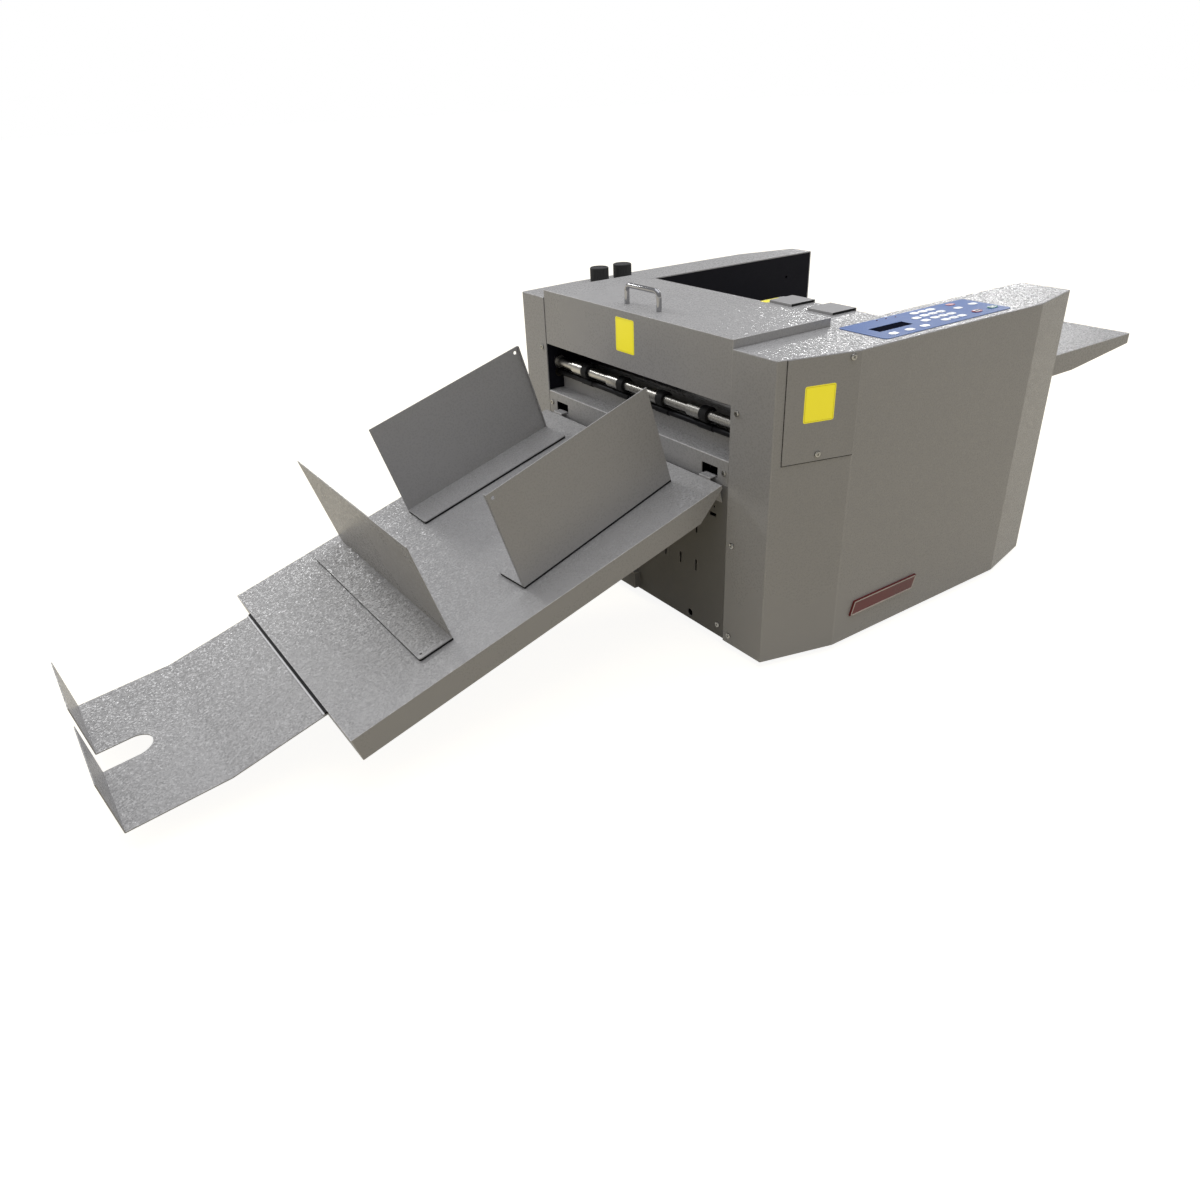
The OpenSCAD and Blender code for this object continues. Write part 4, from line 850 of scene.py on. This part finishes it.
class CREASER_OT_keypad(Making):
    """Printed key film with its pads, the display window and the start and stop keys"""
    bl_idname = "creaser.keypad"
    bl_label = "Key film"

    def make(self):
        film = moulded("blue_film", colours().film, rough=0.5, scale=1800, bump=0.06, gloss=0.06, dust=0.02)
        dress("key_film", "key_film_sheet", film, 0.25, 0.15)
        glass = moulded("display_glass", (0.002, 0.004, 0.014), rough=0.35, scale=900, bump=0.0, gloss=0.005,
                        dust=0.0)
        glass.node_tree.nodes["Principled BSDF"].inputs["IOR"].default_value = 1.05
        dress("display_window", "display_glass_plate", glass, 0.2, 0.2)
        self.prints()
        self.caps()

    def film_place(self, across, along, up):
        """A place of the keypad: across it, along it from 6 mm behind the film's front edge, and up."""
        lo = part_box("key_film")[0]
        return Vector((lo.x + across * MM, lo.y + (6 + along) * MM, lo.z + up * MM))

    def prints(self):
        """Pale ovals on the raised pads, with the plain numbers of the key block."""
        pale = moulded("key_print", colours().pads, rough=0.38, scale=1800, bump=0.05, dust=0.02)
        red = moulded("red_print", (0.42, 0.10, 0.12), rough=0.38, scale=1800, bump=0.05)
        ink = moulded("number_ink", (0.03, 0.04, 0.09), rough=0.4, scale=1800, bump=0.0)
        bm = bmesh.new()
        up, high = 0.75, 0.75
        pitch = 19.8
        block = [(15.5 + pitch * i, 154 + pitch * j) for i in range(4) for j in range(3)]
        extra = [(79, 28), (79, 64), (79, 99), (38.5, 130), (57.5, 128), (38, 234), (35, 276)]
        for across, along in block + extra:
            self.pad(bm, high, self.film_place(across, along, up))
        piece("key_prints", bm, pale, "machine")
        bm = bmesh.new()
        self.pad(bm, high, self.film_place(14, 246, up))
        piece("red_key_print", bm, red, "machine")
        bm = bmesh.new()
        for (across, along), word in zip(block, "123456789 0 "):
            if word != " ":
                self.number(bm, word, self.film_place(across, along, up + high))
        piece("key_numbers", bm, ink, "machine", smooth=False)
        bm = bmesh.new()
        for across, along in ((7, 75), (8, 95), (11, 114)):
            turned(bm, [(-0.1, 0), (-0.1, 1.5), (0.25, 1.5), (0.7, 0.8), (0.8, 0)],
                   self.film_place(across, along, 0.8), (0, 0, 1), 20)
        piece("lamp_domes", bm, moulded("lamp_red", (0.10, 0.02, 0.03), rough=0.2, bump=0.0), "machine")

    def pad(self, bm, high, place):
        """Embossed key with a rounded rim."""
        top = plate(bm, (11.3, 16.7), 4.4, high, axes(place, (1, 0, 0), (0, 1, 0)))
        bevel(bm, list(top.edges), 0.5, 2)

    def number(self, bm, word, place):
        """Adds one digit that reads from the right side of the machine."""
        curve = bpy.data.curves.new("number", 'FONT')
        curve.body = word
        curve.size = 8.5 * MM
        curve.align_x = 'CENTER'
        curve.align_y = 'CENTER'
        curve.extrude = 0.05 * MM
        o = placed("number", curve)
        bpy.context.view_layer.update()
        mesh = bpy.data.meshes.new_from_object(o.evaluated_get(bpy.context.evaluated_depsgraph_get()))
        mesh.transform(axes(place, (0, 1, 0), (-1, 0, 0)))
        bm.from_mesh(mesh)
        bpy.data.objects.remove(o)
        bpy.data.curves.remove(curve)
        bpy.data.meshes.remove(mesh)

    def caps(self):
        """The two larger keys: a coloured ring round a pale middle."""
        pale = moulded("key_print", colours().pads)
        green = moulded("green_cap", (0.10, 0.42, 0.30), rough=0.35, scale=1800, bump=0.05)
        red = moulded("red_cap", (0.50, 0.06, 0.09), rough=0.35, scale=1800, bump=0.05)
        for node, ring, slot in (("start_key", green, "green_key"), ("stop_key", red, "red_key")):
            lo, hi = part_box(node)
            bm = bmesh.new()
            w, h, depth = ((b - a) / MM for a, b in zip(lo, hi))
            top = plate(bm, (w, h), w / 2 - 0.01, depth - 0.25, Matrix.Translation(middle_of(lo, hi)), 10)
            for width, step in ((0.5, 0.2), (1.2, 0), (0.25, -0.15)):
                inset(bm, top, width, step)
            top.material_index = 1
            piece(node + "_cap", bm, [ring, pale], BODY_OF[node], [node])


class CREASER_OT_fasteners(Making):
    """Pan head screws with their crossed recesses"""
    bl_idname = "creaser.fasteners"
    bl_label = "Screws"

    RIM = 3.4
    HEAD = ((2.1, 4.5), (1.2, 5), (0, 5))
    SHANK = 2.4

    def make(self):
        bm = bmesh.new()
        front = Vector((0, -1, 0))
        for x, z in [(side * 269, z) for side in (-1, 1) for z in (396, 181, 15)]:
            self.screw(bm, at(x, 0, z), front, x + z)
        for x, z in [(side * x, z) for x, z in ((241, 24), (245, 296)) for side in (-1, 1)]:
            self.screw(bm, at(x, 0.3, z), front, x - z)
        for along, z in ((120, COVER_TOP - 8), (74, 344)):
            self.screw(bm, on_slant(along, 1.6, z), SLANT_OUT, along)
        piece("pan_head_screws", bm, nickel(), "machine", ["cover_screws"])

    def screw(self, bm, place, out, turn):
        """Flat middle with a cross sunk into it, a round head about it and a short shank behind."""
        lines = (-2.6, -2.15, -0.55, 0.55, 2.15, 2.6)
        grid = bmesh.ops.create_grid(bm, x_segments=5, y_segments=5, size=1)["verts"]
        spots = sorted({round(v.co.x, 4) for v in grid})
        for v in grid:
            v.co.x = lines[spots.index(round(v.co.x, 4))] * MM
            v.co.y = lines[spots.index(round(v.co.y, 4))] * MM
            v.co.z = 2.75 * MM
        faces = faces_round(grid)
        far = {f: sorted(abs(v) for v in f.calc_center_median().xy) for f in faces}
        bars = [f for f in faces if far[f][0] < 0.1 * MM and far[f][1] < 2.0 * MM]
        rim = [e for e in {e for f in faces for e in f.edges} if e.is_boundary]
        circle = bmesh.ops.create_circle(bm, cap_ends=False, segments=20, radius=self.RIM * MM)["verts"]
        bmesh.ops.rotate(bm, verts=circle, cent=(0, 0, 0), matrix=Matrix.Rotation(math.radians(9), 3, 'Z'))
        for v in circle:
            v.co.z = 2.6 * MM
        ring = edges_between(circle)
        bmesh.ops.bridge_loops(bm, edges=rim + ring)
        last = self.RIM
        for z, r in (*self.HEAD, (0, self.SHANK)):
            verts = drawn_out(bm, ring)
            bmesh.ops.scale(bm, verts=verts, vec=(r / last, r / last, 1))
            for v in verts:
                v.co.z = z * MM
            ring, last = edges_between(verts), r
        ring = edges_between(drawn_out(bm, ring, (0, 0, -3.4 * MM)))
        bmesh.ops.holes_fill(bm, edges=ring, sides=30)
        bmesh.ops.inset_region(bm, faces=bars, thickness=0.02 * MM, depth=-1.6 * MM)
        whole = joined(circle)
        bmesh.ops.recalc_face_normals(bm, faces=faces_round(whole))
        side = out.cross(Vector((0, 0, 1)))
        right = Matrix.Rotation(math.radians(turn * 37 % 90), 3, out) @ side
        bmesh.ops.transform(bm, matrix=axes(place, right, out.cross(right)), verts=whole)


class CREASER_OT_labels(Making):
    """Blank stickers and the blank badge"""
    bl_idname = "creaser.labels"
    bl_label = "Stickers and badge"

    def make(self):
        yellow = moulded("yellow_vinyl", colours().sticker, rough=0.36, scale=700, bump=0.08, dust=0.02)
        # The yellow vinyl gets a faint emission: painted light that makes it brighter than its colour
        painted_glow = yellow.node_tree.nodes["Principled BSDF"].inputs
        painted_glow["Emission Color"].default_value = scaled(colours().sticker, 1)
        painted_glow["Emission Strength"].default_value = 0.42
        line = moulded("sticker_line", scaled(colours().sticker, 0.55)[:3], rough=0.36, bump=0.05)
        across, up = (1, 0, 0), (0, 0, 1)
        for name, size, place, body in (
                ("hood_sticker", (50, 55), axes(at(-7, 1, 460.5), across, up), "hood"),
                ("access_sticker", (50, 53), axes(on_slant(71, 1.55, 419.5), SLANT_ALONG, up), "machine"),
                ("deck_sticker", (16, 43), axes(at(54, 273.5, COVER_TOP), across, (0, 1, 0)), "machine")):
            self.sticker(name, size, place, body, [yellow, line])
        self.badge()

    def sticker(self, name, size, place, body, looks):
        """Blank sticker with a thin printed line round it."""
        bm = bmesh.new()
        top = plate(bm, size, 3, sizes().sticker / MM, place)
        inset(bm, top, 1.6)
        for f in inset(bm, top, 0.5):
            f.material_index = 1
        piece(name, bm, looks, body, smooth=False)

    def badge(self):
        """Slanted plate with a pale rim and a dark red field, without any word."""
        rim = moulded("badge_rim", (0.62, 0.56, 0.52), rough=0.3, bump=0.05)
        field = moulded("badge_field", colours().badge, rough=0.3, scale=800, bump=0.1)
        lo, hi = (164, 39), (330, 74)
        size = (hi[0] - lo[0] - 9, hi[1] - lo[1] - 9)
        middle = at(SLANT_FOOT[0] + SLANT_RUN.x, (lo[0] + hi[0]) / 2, (lo[1] + hi[1]) / 2)
        bm = bmesh.new()
        shear = Matrix.Identity(4)
        shear[0][1] = 0.32
        edge = 0.6
        top = plate(bm, size, 2, sizes().badge / MM - edge, axes(middle, (0, 1, 0), (0, 0, 1)) @ shear)
        for f in bm.faces:
            f.material_index = 1
        inset(bm, top, 0.5, edge)
        top.material_index = 0
        inset(bm, top, 2.2)
        inset(bm, top, 0.4, -edge)
        top.material_index = 1
        piece("blank_badge", bm, [rim, field], "machine", smooth=False)


class CREASER_OT_electrics(Making):
    """Mains socket and rocker switch at the rear"""
    bl_idname = "creaser.electrics"
    bl_label = "Socket and switch"

    def make(self):
        dress("power_inlet", "inlet_housing", black_plastic(), 0.6, 0.3)
        dress("power_switch", "rocker_cap", black_plastic(), 0.6, 0.3)


class CREASER_OT_stage(Making):
    """Floor, lamps, room light and the camera at the photograph's place"""
    bl_idname = "creaser.stage"
    bl_label = "Stage and camera"

    CAMERA = (1239.8, -908.6, 823.0)
    TURN = (55.52, 30.45, -2.17)
    PHOTO = 1200

    def make(self):
        self.camera()
        self.floor()
        self.room()
        s = bpy.context.scene.creaser_stage
        middle = at(20, 120, 250)
        self.lamp("overhead", at(-100, 400, 2900), middle, (3.4, 3.4), s.overhead, (0.945, 0.955, 1.0))
        flat = Vector((0, 0, 1))
        sloping = (on_tray(0, 0, 1) - on_tray(0, 0, 0)).normalized()
        self.gleam("gleam_front", at(335, 250, 487), flat, 7.5, (0.6, 0.45), 27 * s.gleam)
        self.gleam("gleam_rear", at(330, 610, 487), flat, 10, (1.0, 0.7), 48 * s.gleam)
        self.gleam("gleam_tray", on_tray(90, 625, 0), sloping, 4, (0.7, 0.5), 30 * s.gleam)
        bpy.context.scene.view_settings.view_transform = 'Standard'

    def camera(self):
        data = bpy.data.cameras.new("camera")
        o = placed("camera", data)
        az, el, roll = (math.radians(v) for v in self.TURN)
        ahead = Vector((-math.sin(az) * math.cos(el), math.cos(az) * math.cos(el), -math.sin(el)))
        right = Vector((math.cos(az), math.sin(az), 0))
        side = right * math.cos(roll) + right.cross(ahead) * math.sin(roll)
        m = Matrix((side, side.cross(ahead), -ahead)).transposed().to_4x4()
        m.translation = at(*self.CAMERA)
        o.matrix_world = m
        data.sensor_width = 36
        data.lens = 27.624
        data.shift_x = -8.8 / self.PHOTO
        data.shift_y = 22.1 / self.PHOTO
        data.clip_start = 0.05
        data.clip_end = 100
        bpy.context.scene.camera = o

    def floor(self):
        bm = bmesh.new()
        bmesh.ops.create_grid(bm, x_segments=1, y_segments=1, size=30)
        mesh = bpy.data.meshes.new("floor")
        bm.to_mesh(mesh)
        bm.free()
        o = placed("floor", mesh)
        m = bpy.data.materials.new("pale_floor")
        t, shader = tree_of(m)
        c = bpy.context.scene.creaser_stage.floor
        where = add(t, "ShaderNodeTexCoord").outputs["Object"]
        cloud = add(t, "ShaderNodeTexNoise", {"Vector": where, "Scale": 1.5, "Detail": 3.0})
        t.links.new(mix(t, cloud.outputs[0], scaled(c, 0.97), scaled(c, 1.03)), shader.inputs["Base Color"])
        shader.inputs["Roughness"].default_value = 0.9
        shader.inputs["Specular IOR Level"].default_value = 0.1
        shader.inputs["Emission Color"].default_value = (1, 1, 1, 1)
        t.links.new(math_node(t, 'MULTIPLY', seen_rays(t, 0.6), 0.91), shader.inputs["Emission Strength"])
        mesh.materials.append(m)

    def room(self):
        world = bpy.data.worlds.new("room")
        bpy.context.scene.world = world
        world.use_nodes = True
        t = world.node_tree
        t.nodes.clear()
        ahead = add(t, "ShaderNodeTexCoord").outputs["Generated"]
        height = add(t, "ShaderNodeSeparateXYZ", {0: ahead}).outputs[2]
        tone = mix(t, ramp(t, height, (0.0, 0.0), (0.5, 1.0)), (1.0, 0.945, 0.845, 1), (0.96, 0.965, 1.0, 1))
        soft = add(t, "ShaderNodeBackground", {0: tone, 1: bpy.context.scene.creaser_stage.room})
        white = add(t, "ShaderNodeBackground", {0: (1, 1, 1, 1), 1: 1.0})
        wall = ramp(t, height, (0.02, 1.0), (0.10, 0.0))
        both = add(t, "ShaderNodeMixShader", {0: seen_rays(t, wall), 1: soft.outputs[0], 2: white.outputs[0]})
        out = t.nodes.new("ShaderNodeOutputWorld")
        t.links.new(both.outputs[0], out.inputs[0])

    def gleam(self, name, target, face, distance, size, power):
        """Far lamp that shines where the photograph shows the paint sparkle."""
        ray = (target - at(*self.CAMERA)).normalized()
        self.lamp(name, target + ray.reflect(face) * distance, target, size, power)

    def lamp(self, name, place, target, size, power, colour=(1, 1, 1)):
        data = bpy.data.lights.new(name, 'AREA')
        data.shape = 'RECTANGLE'
        data.size, data.size_y = size
        data.energy = power
        data.color = colour
        facing = (target - place).to_track_quat('-Z', 'Y').to_matrix().to_4x4()
        placed(name, data).matrix_world = Matrix.Translation(place) @ facing


OPERATORS = (
    CREASER_OT_stage, CREASER_OT_covers, CREASER_OT_hood, CREASER_OT_deck, CREASER_OT_front, CREASER_OT_rollers,
    CREASER_OT_creasing, CREASER_OT_tray, CREASER_OT_feed, CREASER_OT_inside, CREASER_OT_knobs,
    CREASER_OT_keypad, CREASER_OT_fasteners, CREASER_OT_labels, CREASER_OT_electrics,
)


class CREASER_PT_panel(bpy.types.Panel):
    """Lists the sizes, colours and operators of the machine"""
    bl_idname = "CREASER_PT_panel"
    bl_label = "Paper creasing machine"
    bl_space_type = 'VIEW_3D'
    bl_region_type = 'UI'
    bl_category = "Creaser"

    def draw(self, context):
        scene = context.scene
        for group_of in (scene.creaser_sizes, scene.creaser_colours, scene.creaser_stage):
            box = self.layout.box()
            for name in group_of.__annotations__:
                box.prop(group_of, name)
        for operator in OPERATORS:
            self.layout.operator(operator.bl_idname)


GROUPS = {"creaser_colours": CreaserColours, "creaser_sizes": CreaserSizes, "creaser_stage": CreaserStage}


def register():
    for c in (*GROUPS.values(), *OPERATORS, CREASER_PT_panel):
        bpy.utils.register_class(c)
    for name, c in GROUPS.items():
        setattr(bpy.types.Scene, name, bpy.props.PointerProperty(type=c))


def unregister():
    for name in GROUPS:
        delattr(bpy.types.Scene, name)
    for c in reversed((*GROUPS.values(), *OPERATORS, CREASER_PT_panel)):
        bpy.utils.unregister_class(c)


def main():
    register()
    for operator in OPERATORS:
        category, name = operator.bl_idname.split(".")
        getattr(getattr(bpy.ops, category), name)()


if __name__ == "__main__":
    main()
